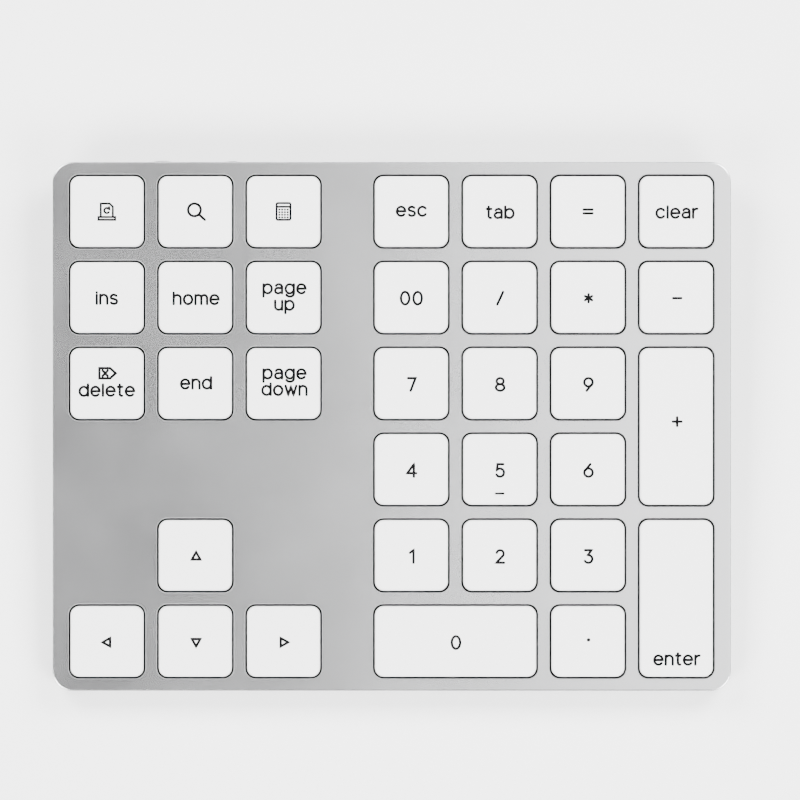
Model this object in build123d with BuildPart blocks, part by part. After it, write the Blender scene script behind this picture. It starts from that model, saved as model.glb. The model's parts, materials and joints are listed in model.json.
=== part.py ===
from build123d import *
import os
from math import atan2, cos, hypot, radians, sin

os.makedirs("parts", exist_ok=True)

# ---------------------------------------------------------------------------
# Driving dimensions, in millimetres and degrees.
# Heights are measured from the deck's top face, along the deck's normal.
# ---------------------------------------------------------------------------

# Key grid
key_pitch_x = 19.0  # from one column to the next
key_pitch_y = 18.5  # from one row to the next
key_space = 3.15  # from one cap's edge to its neighbour's
block_gap = 8.5  # extra space between the navigation block and the number block
side_margin = 3.925  # from the outermost cap to the case's side
end_margin = 3.075  # from the outermost cap to the case's front and rear

# Keycaps
cap_corner = 1.9
cap_gap = 0.35  # slit between a cap and the deck
cap_rise = 1.9  # how far a cap stands above the deck
cap_drop = 0.8  # how far its skirt hangs below the deck's top face
cap_ceiling = 1.0  # thickness of the cap's top
cap_wall = 0.8  # thickness of its skirt
cap_edge = 0.4  # rounding round the top
key_travel = 1.8
press_clearance = 0.4  # left under the skirt at full travel
homing_bar_length = 2.1
homing_bar_width = 0.4
homing_bar_rise = 0.25
homing_bar_offset = 5.2  # from the cap's centre towards the front

# Case: an aluminium tray of a flat deck and short side walls
deck_thickness = 1.2
case_wall = 1.2
case_corner = 4.4
case_edge = 0.4  # rounding between the deck and the walls
cutout_edge = 0.12  # chamfer round each key's cutout
tilt = 3.5  # slope of the deck towards the user

# Sheet-metal base plate and the three printed films on it
film_thickness = 0.1
plate_thickness = 0.5
plate_clearance = 0.4  # from the plate's edge to the case wall
film_inset = 0.4  # from the plate's edge to the films' edge
under_plate_gap = 0.6
contact_radius = 2.0

# Scissor levers
lever_bar = 0.9  # diameter of the round end bars and thickness of the arms
lever_arm = 0.8  # width of an arm
outer_arm_x = 5.2  # arm's centre from the key's centre
outer_reach = 5.2  # end bar's centre from the key's centre
inner_arm_x = 3.9
inner_reach = 4.0
lever_fit = 0.1  # round a bar or pin in its hole
lever_ceiling_gap = 0.25  # over the upper bar
lever_film_gap = 0.2  # under the lower bar
pivot_boss = 2.0
clip_x = 1.5  # cap's clips from the key's centre
clip_width = 1.0
clip_length = 1.3
clip_depth = 1.1  # short of the lever bar's underside, so that the clip is open there
hook_x = 2.9  # plate's hooks from the key's centre
hook_width = 0.8
hook_thickness = 0.5
hook_gap = 0.2  # from a lever's bar to its hook
hook_lip = 0.4  # thickness of the hook's bent lip
hook_lip_gap = 0.15  # over the bar
hook_lip_lap = 0.1  # how far the lip reaches past the bar's middle
hook_fit = 0.15  # round a hook in the films' holes

# Rubber domes
dome_base_radius = 3.1
dome_base_height = 0.25
dome_foot_radius = 2.7
dome_crown_radius = 1.6
dome_wall = 0.4
dome_gap = 0.05  # under the cap's ceiling
dome_nub_height = 0.6
plunger_radius = 0.8

# Stabiliser bars of the three long keys
bar_diameter = 0.8
bar_bend = 1.2  # bend radius on the wire's centre line
bar_arm = 8.0
bar_offset = 6.35  # hinge line from the key's long centre line
bar_ceiling_gap = 0.25
bar_end_room = 3.5  # from an arm to the inside of the cap's end
bar_tip_length = 2.4
bar_tip_height = 0.55  # tip's centre above the films
bar_fit = 0.05
bar_clip_inset = 3.0  # cap's clip from the arm
bar_clip_width = 1.2
bar_clip_length = 1.7
bar_clip_depth = 0.9  # likewise short of the bar's underside
bar_hook_length = 3.4
bar_hook_height = 1.7
bar_hook_slot = 1.1
bar_hook_slip = 0.7  # extra length of the slot for the tip's sliding

# Bosses and screws
boss_radius = 2.0
boss_clearance = 0.3
screw_diameter = 1.4
screw_clearance = 0.2
screw_head_diameter = 2.8
screw_head_height = 0.5
screw_bite = 1.6  # thread length inside the deck's boss
screw_tip_room = 0.1
recess_length = 1.6
recess_width = 0.4
recess_depth = 0.3

# Bottom cover and its rear hump
cover_thickness = 1.4
cover_inset = 0.3
lip_height = 0.45
lip_width = 0.9
lip_clearance = 0.15
hump_length = 30.0
hump_side_inset = 3.0
hump_slope = 3.0  # run of the sloping front face
hump_corner = 6.0
hump_edge = 1.4
hump_wall = 1.3
rear_wall = 2.0
pad_radius = 2.4  # spacer pads under the plate
tube_radius = 2.7
post_gap = 0.05  # from a pad or tube to the plate
head_seat = 0.8  # material between a screw's head and the cover's inner face
head_clearance = 0.3

# Feet
foot_length = 24.0
foot_width = 6.0
foot_proud = 1.2
foot_sink = 0.3
foot_fit = 0.1
foot_x = 52.0
front_foot_inset = 7.0  # from the case's front edge to the feet's centre line
rear_foot_inset = 8.5  # from the hump's rear face to the feet's centre line

# Electronics in the hump
board_length = 62.0
board_width = 13.5
board_thickness = 0.8
board_corner = 1.0
board_top = -8.8
board_left = -62.0
board_rear_gap = 0.5
pillar_radius = 1.6
pillar_inset = 2.6
peg_radius = 0.6
peg_fit = 0.1
socket_x = -18.0
socket_width = 8.94
socket_height = 3.26
socket_length = 7.35
socket_wall = 0.3
socket_recess = 0.3  # mouth behind the hump's rear face
socket_fit = 0.15
socket_tongue_width = 6.7
socket_tongue_thickness = 0.7
socket_tongue_length = 4.9
socket_tongue_corner = 0.3
socket_block_length = 1.6
socket_block_fit = 0.02  # round the block in the shell
switch_x = -49.6
switch_travel = 2.0
switch_body_width = 9.0
switch_body_length = 3.4
switch_body_height = 3.0
switch_window_height = 1.6
knob_width = 3.3
knob_height = 1.5
knob_proud = 0.4  # beyond the case's rear edge
knob_fit = 0.15
carriage_overlap = 0.6  # how far the carriage laps the slot's ends and sides
carriage_thickness = 0.5
carriage_gap = 0.15
stem_width = 1.2
stem_length = 1.8
button_x = -34.4
button_diameter = 2.2
button_proud = 0.3
button_fit = 0.12
button_travel = 0.3
button_flange = 0.6
button_flange_thickness = 0.5
tact_width = 4.0
tact_length = 3.0
tact_height = 3.8
tact_gap = 0.1
light_x = -27.6
light_diameter = 1.6
light_fit = 0.05
light_flange = 0.4
light_flange_thickness = 0.4
light_source_gap = 0.2
light_source_length = 1.0
connector_width = 10.0
connector_length = 3.6
connector_height = 2.0
connector_mouth = 0.5
tail_width = 8.0
tail_bend = 0.9
tail_slot_room = 0.35
tail_slot_length = 2.8
battery_length = 46.0
battery_width = 13.0
battery_thickness = 4.2
battery_left = 8.0
battery_floor_gap = 0.25
battery_corner = 1.2
rib_thickness = 0.9
rib_height = 2.2
rib_gap = 0.3
lead_diameter = 0.9
lead_space = 1.6
lead_bend = 2.4
lead_slope = 1.8  # half the run of the leads' slope
plug_length = 3.6
plug_inset = 0.8  # from the plug to the board's right end
plug_width = 4.4
plug_height = 1.8

# The keys: first column, first row, columns wide, rows deep.
# Column 0 is the leftmost, and row 0 is the rear row.
keys = {
    "key_document": (0, 0, 1, 1),
    "key_search": (1, 0, 1, 1),
    "key_calculator": (2, 0, 1, 1),
    "key_escape": (3, 0, 1, 1),
    "key_tab": (4, 0, 1, 1),
    "key_equals": (5, 0, 1, 1),
    "key_clear": (6, 0, 1, 1),
    "key_insert": (0, 1, 1, 1),
    "key_home": (1, 1, 1, 1),
    "key_page_up": (2, 1, 1, 1),
    "key_double_zero": (3, 1, 1, 1),
    "key_divide": (4, 1, 1, 1),
    "key_multiply": (5, 1, 1, 1),
    "key_minus": (6, 1, 1, 1),
    "key_delete": (0, 2, 1, 1),
    "key_end": (1, 2, 1, 1),
    "key_page_down": (2, 2, 1, 1),
    "key_7": (3, 2, 1, 1),
    "key_8": (4, 2, 1, 1),
    "key_9": (5, 2, 1, 1),
    "key_plus": (6, 2, 1, 2),
    "key_4": (3, 3, 1, 1),
    "key_5": (4, 3, 1, 1),
    "key_6": (5, 3, 1, 1),
    "key_up": (1, 4, 1, 1),
    "key_1": (3, 4, 1, 1),
    "key_2": (4, 4, 1, 1),
    "key_3": (5, 4, 1, 1),
    "key_enter": (6, 4, 1, 2),
    "key_left": (0, 5, 1, 1),
    "key_down": (1, 5, 1, 1),
    "key_right": (2, 5, 1, 1),
    "key_0": (3, 5, 2, 1),
    "key_point": (5, 5, 1, 1),
}
column_count = 7
row_count = 6
navigation_columns = 3

# Blocks on the board: x and y from its front left corner, length, width, height
board_parts = [
    (9.8, 4.4, 10.0, 6.0, 1.6),
    (2.6, 8.2, 1.8, 3.4, 0.8),
    (20.5, 4.2, 4.2, 4.2, 0.8),
    (26.5, 3.4, 2.4, 1.4, 0.6),
    (26.5, 5.8, 1.6, 0.9, 0.5),
    (30.5, 4.4, 3.0, 3.0, 0.9),
    (35.0, 3.2, 1.6, 0.9, 0.5),
    (35.0, 5.2, 1.6, 0.9, 0.5),
]

# Bosses stand where four caps' corners meet: the column and row before each.
case_screw_crossings = [(1, 0), (4, 0), (1, 4), (4, 4)]
plate_screw_crossings = [(0, 1), (1, 2), (0, 4), (3, 1), (5, 1), (4, 2), (3, 3), (5, 3)]

# ---------------------------------------------------------------------------
# Worked out from the above
# ---------------------------------------------------------------------------

cap_width = key_pitch_x - key_space
cap_depth = key_pitch_y - key_space
field_width = (column_count - 1) * key_pitch_x + block_gap + cap_width
field_depth = (row_count - 1) * key_pitch_y + cap_depth
case_width = field_width + 2 * side_margin
case_depth = field_depth + 2 * end_margin

# The stack below the deck
cap_ceiling_z = cap_rise - cap_ceiling
film_top_z = -(cap_drop + key_travel + press_clearance)
plate_top_z = film_top_z - 3 * film_thickness
plate_bottom_z = plate_top_z - plate_thickness
case_bottom_z = plate_bottom_z - under_plate_gap
cover_bottom_z = case_bottom_z - cover_thickness
boss_height = -deck_thickness - plate_top_z

# The deck is tilted about the X axis, and the front feet carry its front end.
tilt_sin = sin(radians(tilt))
tilt_cos = cos(radians(tilt))
front_foot_y = -case_depth / 2 + front_foot_inset
deck_height = foot_proud - front_foot_y * tilt_sin - cover_bottom_z * tilt_cos
rear_y = case_depth / 2 - cover_inset
rear_inner_y = rear_y - rear_wall
switch_axis_z = board_top + switch_body_height / 2
socket_z = board_top + socket_height / 2
button_z = board_top + tact_height / 2
light_source_y = rear_inner_y - light_flange_thickness - light_source_gap - light_source_length / 2
knob_end_y = case_depth / 2 + knob_proud
front_reach = case_depth / 2 * tilt_cos - case_edge * tilt_sin
rear_reach = knob_end_y * tilt_cos - (switch_axis_z - knob_height / 2) * tilt_sin
deck_shift = (front_reach - rear_reach) / 2

deck = Plane(
    origin=(0, deck_shift, deck_height),
    x_dir=(1, 0, 0),
    z_dir=(0, -tilt_sin, tilt_cos),
)
side = Plane(origin=deck.origin, x_dir=deck.y_dir, z_dir=deck.x_dir)
rear = Plane(origin=deck.origin, x_dir=-deck.x_dir, z_dir=deck.y_dir)
up_axis = Axis(deck.origin, deck.z_dir)


def hump_floor(y):
    """Height of the hump's level underside at y, in the deck's frame."""
    return (foot_proud - deck_height - y * tilt_sin) / tilt_cos


def column_x(column):
    """X of a column's centre, with the block gap before the number block."""
    gap = block_gap if column >= navigation_columns else 0
    return column * key_pitch_x + gap - ((column_count - 1) * key_pitch_x + block_gap) / 2


def row_y(row):
    """Y of a row's centre."""
    return ((row_count - 1) / 2 - row) * key_pitch_y


def key_centre(column, row, columns, rows):
    """Centre of a key that covers a run of columns and rows."""
    x = (column_x(column) + column_x(column + columns - 1)) / 2
    y = (row_y(row) + row_y(row + rows - 1)) / 2
    return (x, y)


def key_size(columns, rows):
    """Width and depth of a cap that covers a run of columns and rows."""
    return (cap_width + (columns - 1) * key_pitch_x, cap_depth + (rows - 1) * key_pitch_y)


def crossing(column, row):
    """Where the webs cross behind and right of a key's corner."""
    return ((column_x(column) + column_x(column + 1)) / 2, (row_y(row) + row_y(row + 1)) / 2)


centres = [key_centre(*key) for key in keys.values()]
tall_centres = [key_centre(*key) for key in keys.values() if key[3] > 1]
wide_centres = [key_centre(*key) for key in keys.values() if key[2] > 1]
case_screws_at = [crossing(*c) for c in case_screw_crossings]
plate_screws_at = [crossing(*c) for c in plate_screw_crossings]
bosses_at = case_screws_at + plate_screws_at

# Heights of the levers' end bars and of the stabiliser bars
upper_bar_z = cap_ceiling_z - lever_ceiling_gap - lever_bar / 2
lower_bar_z = film_top_z + lever_film_gap + lever_bar / 2
pivot_z = (upper_bar_z + lower_bar_z) / 2
hook_top_z = lower_bar_z + lever_bar / 2 + hook_lip_gap + hook_lip
bar_hinge_z = cap_ceiling_z - bar_ceiling_gap - bar_diameter / 2
bar_tip_z = film_top_z + bar_tip_height
bar_drop = bar_hinge_z - bar_tip_z
bar_run = (bar_arm**2 - bar_drop**2) ** 0.5
bar_half_tall = (cap_depth + key_pitch_y) / 2 - cap_wall - bar_end_room
bar_half_wide = (cap_width + key_pitch_x) / 2 - cap_wall - bar_end_room

# Hooks of the plate, as pairs of a tab's centre and its lip's centre and length
inner_tab_y = inner_reach - lever_bar / 2 - hook_gap - hook_thickness / 2
outer_tab_y = -(outer_reach + lever_bar / 2 + hook_gap + hook_thickness / 2)
hook_lip_length = hook_thickness + hook_gap + lever_bar / 2 + hook_lip_lap
hook_lip_shift = (hook_lip_length - hook_thickness) / 2
bar_hook_y = bar_tip_length / 2 + bar_bend / 2  # hook's centre beyond the arm
bar_slot_at = bar_offset - bar_run - bar_hook_slip / 2


# ---------------------------------------------------------------------------
# Keycaps
# ---------------------------------------------------------------------------

for name, (column, row, columns, rows) in keys.items():
    x, y = key_centre(column, row, columns, rows)
    width, depth = key_size(columns, rows)
    with BuildPart() as cap:
        with BuildSketch(deck.offset(-cap_drop)):
            with Locations((x, y)):
                RectangleRounded(width, depth, cap_corner)
        extrude(amount=cap_drop + cap_rise)
        fillet(cap.faces().sort_by(up_axis)[-1].edges(), cap_edge)
        with BuildSketch(deck.offset(-cap_drop)):
            with Locations((x, y)):
                RectangleRounded(width - 2 * cap_wall, depth - 2 * cap_wall, cap_corner - cap_wall)
        extrude(amount=cap_drop + cap_ceiling_z, mode=Mode.SUBTRACT)
        # Clips that snap onto the levers' upper bars
        with BuildSketch(deck.offset(cap_ceiling_z)):
            with Locations((x, y + outer_reach), (x, y - inner_reach)):
                with GridLocations(2 * clip_x, 0, 2, 1):
                    Rectangle(clip_width, clip_length)
        extrude(amount=-clip_depth)
        with BuildSketch(side.offset(x)):
            with Locations((y + outer_reach, upper_bar_z), (y - inner_reach, upper_bar_z)):
                Circle(lever_bar / 2 + lever_fit)
        extrude(amount=clip_x + clip_width, both=True, mode=Mode.SUBTRACT)
        # Clips for the stabiliser bar under a cap that is two rows deep
        if rows > 1:
            clip_y = bar_half_tall - bar_clip_inset
            with BuildSketch(deck.offset(cap_ceiling_z)):
                with Locations((x + bar_offset, y - clip_y), (x + bar_offset, y + clip_y)):
                    Rectangle(bar_clip_length, bar_clip_width)
            extrude(amount=-bar_clip_depth)
            with BuildSketch(rear.offset(y)):
                with Locations((-(x + bar_offset), bar_hinge_z)):
                    Circle(bar_diameter / 2 + bar_fit)
            extrude(amount=clip_y + bar_clip_width, both=True, mode=Mode.SUBTRACT)
        # and under a cap that is two columns wide
        if columns > 1:
            clip_at = bar_half_wide - bar_clip_inset
            with BuildSketch(deck.offset(cap_ceiling_z)):
                with Locations((x - clip_at, y + bar_offset), (x + clip_at, y + bar_offset)):
                    Rectangle(bar_clip_width, bar_clip_length)
            extrude(amount=-bar_clip_depth)
            with BuildSketch(side.offset(x)):
                with Locations((y + bar_offset, bar_hinge_z)):
                    Circle(bar_diameter / 2 + bar_fit)
            extrude(amount=clip_at + bar_clip_width, both=True, mode=Mode.SUBTRACT)
        if name == "key_5":
            with BuildSketch(deck.offset(cap_rise)):
                with Locations((x, y - homing_bar_offset)):
                    SlotOverall(homing_bar_length, homing_bar_width)
            extrude(amount=homing_bar_rise)
    cap.part.label = name
    export_step(cap.part, f"parts/{name}.step")


# ---------------------------------------------------------------------------
# Aluminium top case
# ---------------------------------------------------------------------------

with BuildPart() as top_case:
    with BuildSketch(deck):
        RectangleRounded(case_width, case_depth, case_corner)
    extrude(amount=case_bottom_z)
    fillet(top_case.faces().sort_by(up_axis)[-1].edges(), case_edge)
    with BuildSketch(deck.offset(-deck_thickness)):
        RectangleRounded(case_width - 2 * case_wall, case_depth - 2 * case_wall, case_corner - case_wall)
    extrude(amount=case_bottom_z + deck_thickness, mode=Mode.SUBTRACT)
    # One rounded cutout for each key
    with BuildSketch(deck):
        for column, row, columns, rows in keys.values():
            width, depth = key_size(columns, rows)
            with Locations(key_centre(column, row, columns, rows)):
                RectangleRounded(width + 2 * cap_gap, depth + 2 * cap_gap, cap_corner + cap_gap)
    extrude(amount=-deck_thickness, mode=Mode.SUBTRACT)
    chamfer(top_case.faces().sort_by(up_axis)[-1].inner_wires().edges(), cutout_edge)
    # Bosses that reach through the films and carry the base plate
    with BuildSketch(deck.offset(-deck_thickness)):
        with Locations(*bosses_at):
            Circle(boss_radius)
    extrude(amount=-boss_height)
    with BuildSketch(deck.offset(plate_top_z)):
        with Locations(*bosses_at):
            Circle(screw_diameter / 2)
    extrude(amount=screw_bite + screw_tip_room, mode=Mode.SUBTRACT)
top_case.part.label = "top_case"
export_step(top_case.part, "parts/top_case.step")


# ---------------------------------------------------------------------------
# Base plate with bent hooks, and the films that lie on it
# ---------------------------------------------------------------------------

plate_width = case_width - 2 * (case_wall + plate_clearance)
plate_depth = case_depth - 2 * (case_wall + plate_clearance)
plate_corner = case_corner - case_wall - plate_clearance
tail_x = (column_x(navigation_columns - 1) + column_x(navigation_columns)) / 2
tail_y = (row_y(0) + row_y(1)) / 2

with BuildPart() as key_base_plate:
    with BuildSketch(deck.offset(plate_bottom_z)):
        RectangleRounded(plate_width, plate_depth, plate_corner)
        with Locations(*bosses_at):
            Circle(screw_diameter / 2 + screw_clearance, mode=Mode.SUBTRACT)
        with Locations((tail_x, tail_y)):
            Rectangle(tail_width + 2 * tail_slot_room, tail_slot_length, mode=Mode.SUBTRACT)
    extrude(amount=plate_thickness)
    # Upright tabs of the lever hooks, then their lips
    with BuildSketch(deck.offset(plate_top_z)):
        for x, y in centres:
            with Locations((x, y + inner_tab_y), (x, y + outer_tab_y)):
                with GridLocations(2 * hook_x, 0, 2, 1):
                    Rectangle(hook_width, hook_thickness)
    extrude(amount=hook_top_z - plate_top_z)
    with BuildSketch(deck.offset(hook_top_z - hook_lip)):
        for x, y in centres:
            with Locations((x, y + inner_tab_y + hook_lip_shift), (x, y + outer_tab_y + hook_lip_shift)):
                with GridLocations(2 * hook_x, 0, 2, 1):
                    Rectangle(hook_width, hook_lip_length)
    extrude(amount=hook_lip)
    # Slotted tabs that hold the tips of the stabiliser bars
    for x, y in tall_centres:
        for end in (-1, 1):
            with BuildSketch(rear.offset(y + end * (bar_half_tall + bar_hook_y) - hook_thickness / 2)):
                with Locations((-(x + bar_slot_at), plate_top_z + bar_hook_height / 2)):
                    Rectangle(bar_hook_length, bar_hook_height)
                with Locations((-(x + bar_slot_at), bar_tip_z)):
                    SlotOverall(bar_hook_slot + bar_hook_slip, bar_hook_slot, mode=Mode.SUBTRACT)
            extrude(amount=hook_thickness)
    for x, y in wide_centres:
        for end in (-1, 1):
            with BuildSketch(side.offset(x + end * (bar_half_wide + bar_hook_y) - hook_thickness / 2)):
                with Locations((y + bar_slot_at, plate_top_z + bar_hook_height / 2)):
                    Rectangle(bar_hook_length, bar_hook_height)
                with Locations((y + bar_slot_at, bar_tip_z)):
                    SlotOverall(bar_hook_slot + bar_hook_slip, bar_hook_slot, mode=Mode.SUBTRACT)
            extrude(amount=hook_thickness)
key_base_plate.part.label = "key_base_plate"
export_step(key_base_plate.part, "parts/key_base_plate.step")


def film_holes():
    """Holes of a film round the bosses, the hooks and the tail's slot."""
    with Locations(*bosses_at):
        Circle(boss_radius + boss_clearance, mode=Mode.SUBTRACT)
    for x, y in centres:
        with Locations((x, y + inner_tab_y), (x, y + outer_tab_y)):
            with GridLocations(2 * hook_x, 0, 2, 1):
                Rectangle(hook_width + 2 * hook_fit, hook_thickness + 2 * hook_fit, mode=Mode.SUBTRACT)
    tall_reach = bar_half_tall + bar_hook_y
    wide_reach = bar_half_wide + bar_hook_y
    long_side = bar_hook_length + 2 * hook_fit
    short_side = hook_thickness + 2 * hook_fit
    for x, y in tall_centres:
        with Locations((x + bar_slot_at, y - tall_reach), (x + bar_slot_at, y + tall_reach)):
            Rectangle(long_side, short_side, mode=Mode.SUBTRACT)
    for x, y in wide_centres:
        with Locations((x - wide_reach, y + bar_slot_at), (x + wide_reach, y + bar_slot_at)):
            Rectangle(short_side, long_side, mode=Mode.SUBTRACT)
    with Locations((tail_x, tail_y)):
        Rectangle(tail_width + 2 * tail_slot_room, tail_slot_length, mode=Mode.SUBTRACT)


film_width = plate_width - 2 * film_inset
film_depth = plate_depth - 2 * film_inset
film_corner = plate_corner - film_inset

with BuildPart() as membrane_top_layer:
    with BuildSketch(deck.offset(plate_top_z + 2 * film_thickness)):
        RectangleRounded(film_width, film_depth, film_corner)
        film_holes()
    extrude(amount=film_thickness)
membrane_top_layer.part.label = "membrane_top_layer"
export_step(membrane_top_layer.part, "parts/membrane_top_layer.step")

# The spacer is open under every dome, where the two printed films meet.
with BuildPart() as membrane_spacer_layer:
    with BuildSketch(deck.offset(plate_top_z + film_thickness)):
        RectangleRounded(film_width, film_depth, film_corner)
        film_holes()
        with Locations(*centres):
            Circle(contact_radius, mode=Mode.SUBTRACT)
    extrude(amount=film_thickness)
membrane_spacer_layer.part.label = "membrane_spacer_layer"
export_step(membrane_spacer_layer.part, "parts/membrane_spacer_layer.step")

# The bottom film carries the tail that drops through the plate to the board.
board_rear_y = rear_inner_y - board_rear_gap
board_front_y = board_rear_y - board_width
board_x = board_left + board_length / 2
tail_start_y = tail_y - tail_slot_length / 2
tail_drop_y = tail_y
tail_low_z = board_top + connector_height / 2
connector_front_y = board_front_y + connector_mouth
film_mid_z = plate_top_z + film_thickness / 2

with BuildPart() as membrane_bottom_layer:
    with BuildSketch(deck.offset(plate_top_z)):
        RectangleRounded(film_width, film_depth, film_corner)
        film_holes()
    extrude(amount=film_thickness)
    with BuildSketch(side.offset(tail_x)):
        with BuildLine():
            FilletPolyline(
                (tail_start_y - film_thickness, film_mid_z),
                (tail_drop_y, film_mid_z),
                (tail_drop_y, tail_low_z),
                (connector_front_y, tail_low_z),
                radius=tail_bend,
            )
        trace(line_width=film_thickness)
    extrude(amount=tail_width / 2, both=True)
membrane_bottom_layer.part.label = "membrane_bottom_layer"
export_step(membrane_bottom_layer.part, "parts/membrane_bottom_layer.step")


# ---------------------------------------------------------------------------
# Rubber domes and scissor levers: one of each, then a copy at every key
# ---------------------------------------------------------------------------

dome_height = cap_ceiling_z - dome_gap - film_top_z
dome_cone_top = dome_height - dome_nub_height
plunger_top = dome_cone_top - dome_wall
plunger_bottom = key_travel - dome_gap

with BuildPart() as dome:
    with BuildSketch(Plane.XZ):
        with BuildLine():
            Polyline(
                (0, plunger_bottom),
                (plunger_radius, plunger_bottom),
                (plunger_radius, plunger_top),
                (dome_crown_radius - dome_wall, plunger_top),
                (dome_foot_radius - dome_wall, 0),
                (dome_base_radius, 0),
                (dome_base_radius, dome_base_height),
                (dome_foot_radius, dome_base_height),
                (dome_crown_radius, dome_cone_top),
                (dome_crown_radius - dome_wall, dome_cone_top),
                (dome_crown_radius - dome_wall, dome_height),
                (0, dome_height),
                close=True,
            )
        make_face()
    revolve(axis=Axis.Z)

with BuildPart(deck.offset(film_top_z)) as rubber_domes:
    with Locations(*centres):
        add(dome.part)
rubber_domes.part.label = "rubber_domes"
export_step(rubber_domes.part, "parts/rubber_domes.step")


def lever_plane(reach):
    """Sloping mid-plane of a lever whose upper bar is on the +Y side."""
    slope = atan2(upper_bar_z - lower_bar_z, 2 * reach)
    return Plane(origin=(0, 0, pivot_z), x_dir=(1, 0, 0), z_dir=(0, -sin(slope), cos(slope)))


outer_length = hypot(2 * outer_reach, upper_bar_z - lower_bar_z)
inner_length = hypot(2 * inner_reach, upper_bar_z - lower_bar_z)

with BuildPart() as outer_lever:
    with BuildSketch(lever_plane(outer_reach)):
        with GridLocations(2 * outer_arm_x, 0, 2, 1):
            Rectangle(lever_arm, outer_length)
    extrude(amount=lever_bar / 2, both=True)
    with BuildSketch(Plane.YZ):
        with Locations((outer_reach, upper_bar_z), (-outer_reach, lower_bar_z)):
            Circle(lever_bar / 2)
    extrude(amount=outer_arm_x + lever_arm / 2, both=True)
    for arm_x in (-outer_arm_x, outer_arm_x):
        with BuildSketch(Plane.YZ.offset(arm_x)):
            with Locations((0, pivot_z)):
                Circle(pivot_boss / 2)
        extrude(amount=lever_arm / 2, both=True)
    with BuildSketch(Plane.YZ):
        with Locations((0, pivot_z)):
            Circle(lever_bar / 2 + lever_fit)
    extrude(amount=outer_arm_x + lever_arm, both=True, mode=Mode.SUBTRACT)

# The inner lever is the shorter one and slopes the other way.
with BuildPart() as inner_lever:
    with BuildSketch(lever_plane(inner_reach)):
        with GridLocations(2 * inner_arm_x, 0, 2, 1):
            Rectangle(lever_arm, inner_length)
    extrude(amount=lever_bar / 2, both=True)
    with BuildSketch(Plane.YZ):
        with Locations((inner_reach, upper_bar_z), (-inner_reach, lower_bar_z)):
            Circle(lever_bar / 2)
    extrude(amount=inner_arm_x + lever_arm / 2, both=True)
    for end in (-1, 1):
        with BuildSketch(Plane.YZ.offset(end * inner_arm_x)):
            with Locations((0, pivot_z)):
                Circle(lever_bar / 2)
        extrude(amount=end * (outer_arm_x + lever_arm / 2 - inner_arm_x))

with BuildPart(deck) as scissor_outer_levers:
    with Locations(*centres):
        add(outer_lever.part)
scissor_outer_levers.part.label = "scissor_outer_levers"
export_step(scissor_outer_levers.part, "parts/scissor_outer_levers.step")

with BuildPart(deck) as scissor_inner_levers:
    with Locations(*centres):
        add(inner_lever.part, rotation=(0, 0, 180))
scissor_inner_levers.part.label = "scissor_inner_levers"
export_step(scissor_inner_levers.part, "parts/scissor_inner_levers.step")


# ---------------------------------------------------------------------------
# Stabiliser bars
# ---------------------------------------------------------------------------

for name, (column, row, columns, rows) in keys.items():
    if columns == rows:
        continue
    x, y = key_centre(column, row, columns, rows)
    half = bar_half_tall if rows > 1 else bar_half_wide
    tip = half + bar_tip_length
    near = bar_offset
    far = bar_offset - bar_run
    # Points of the wire as along, across and up from the key's centre
    wire_points = [
        (-tip, far, bar_tip_z),
        (-half, far, bar_tip_z),
        (-half, near, bar_hinge_z),
        (half, near, bar_hinge_z),
        (half, far, bar_tip_z),
        (tip, far, bar_tip_z),
    ]
    if rows > 1:
        points = [deck.from_local_coords((x + q, y + p, r)) for p, q, r in wire_points]
        along = deck.y_dir
    else:
        points = [deck.from_local_coords((x + p, y + q, r)) for p, q, r in wire_points]
        along = deck.x_dir
    bar_name = name.replace("key_", "stabiliser_bar_")
    with BuildPart() as bar:
        with BuildLine() as wire:
            FilletPolyline(*points, radius=bar_bend)
        with BuildSketch(Plane(origin=points[0], z_dir=along)):
            Circle(bar_diameter / 2)
        sweep(path=wire.line)
    bar.part.label = bar_name
    export_step(bar.part, f"parts/{bar_name}.step")


# ---------------------------------------------------------------------------
# Screws
# ---------------------------------------------------------------------------

def make_screw(length):
    """A pan-head cross-recess screw that stands on its head at z = 0."""
    with BuildPart() as screw:
        with BuildSketch(Plane.XY):
            Circle(screw_head_diameter / 2)
        extrude(amount=screw_head_height)
        with BuildSketch(Plane.XY.offset(screw_head_height)):
            Circle(screw_diameter / 2)
        extrude(amount=length)
        with BuildSketch(Plane.XY):
            Rectangle(recess_length, recess_width)
            Rectangle(recess_width, recess_length)
        extrude(amount=recess_depth, mode=Mode.SUBTRACT)
    return screw.part


screw_tip_z = plate_top_z + screw_bite
plate_screw = make_screw(screw_tip_z - plate_bottom_z)
head_top_z = case_bottom_z - head_seat
case_screw = make_screw(screw_tip_z - head_top_z)

with BuildPart(deck.offset(plate_bottom_z - screw_head_height)) as plate_screws:
    with Locations(*plate_screws_at):
        add(plate_screw)
plate_screws.part.label = "plate_screws"
export_step(plate_screws.part, "parts/plate_screws.step")

with BuildPart(deck.offset(head_top_z - screw_head_height)) as case_screws:
    with Locations(*case_screws_at):
        add(case_screw)
case_screws.part.label = "case_screws"
export_step(case_screws.part, "parts/case_screws.step")


# ---------------------------------------------------------------------------
# Bottom cover with its rear hump
# ---------------------------------------------------------------------------

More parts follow.
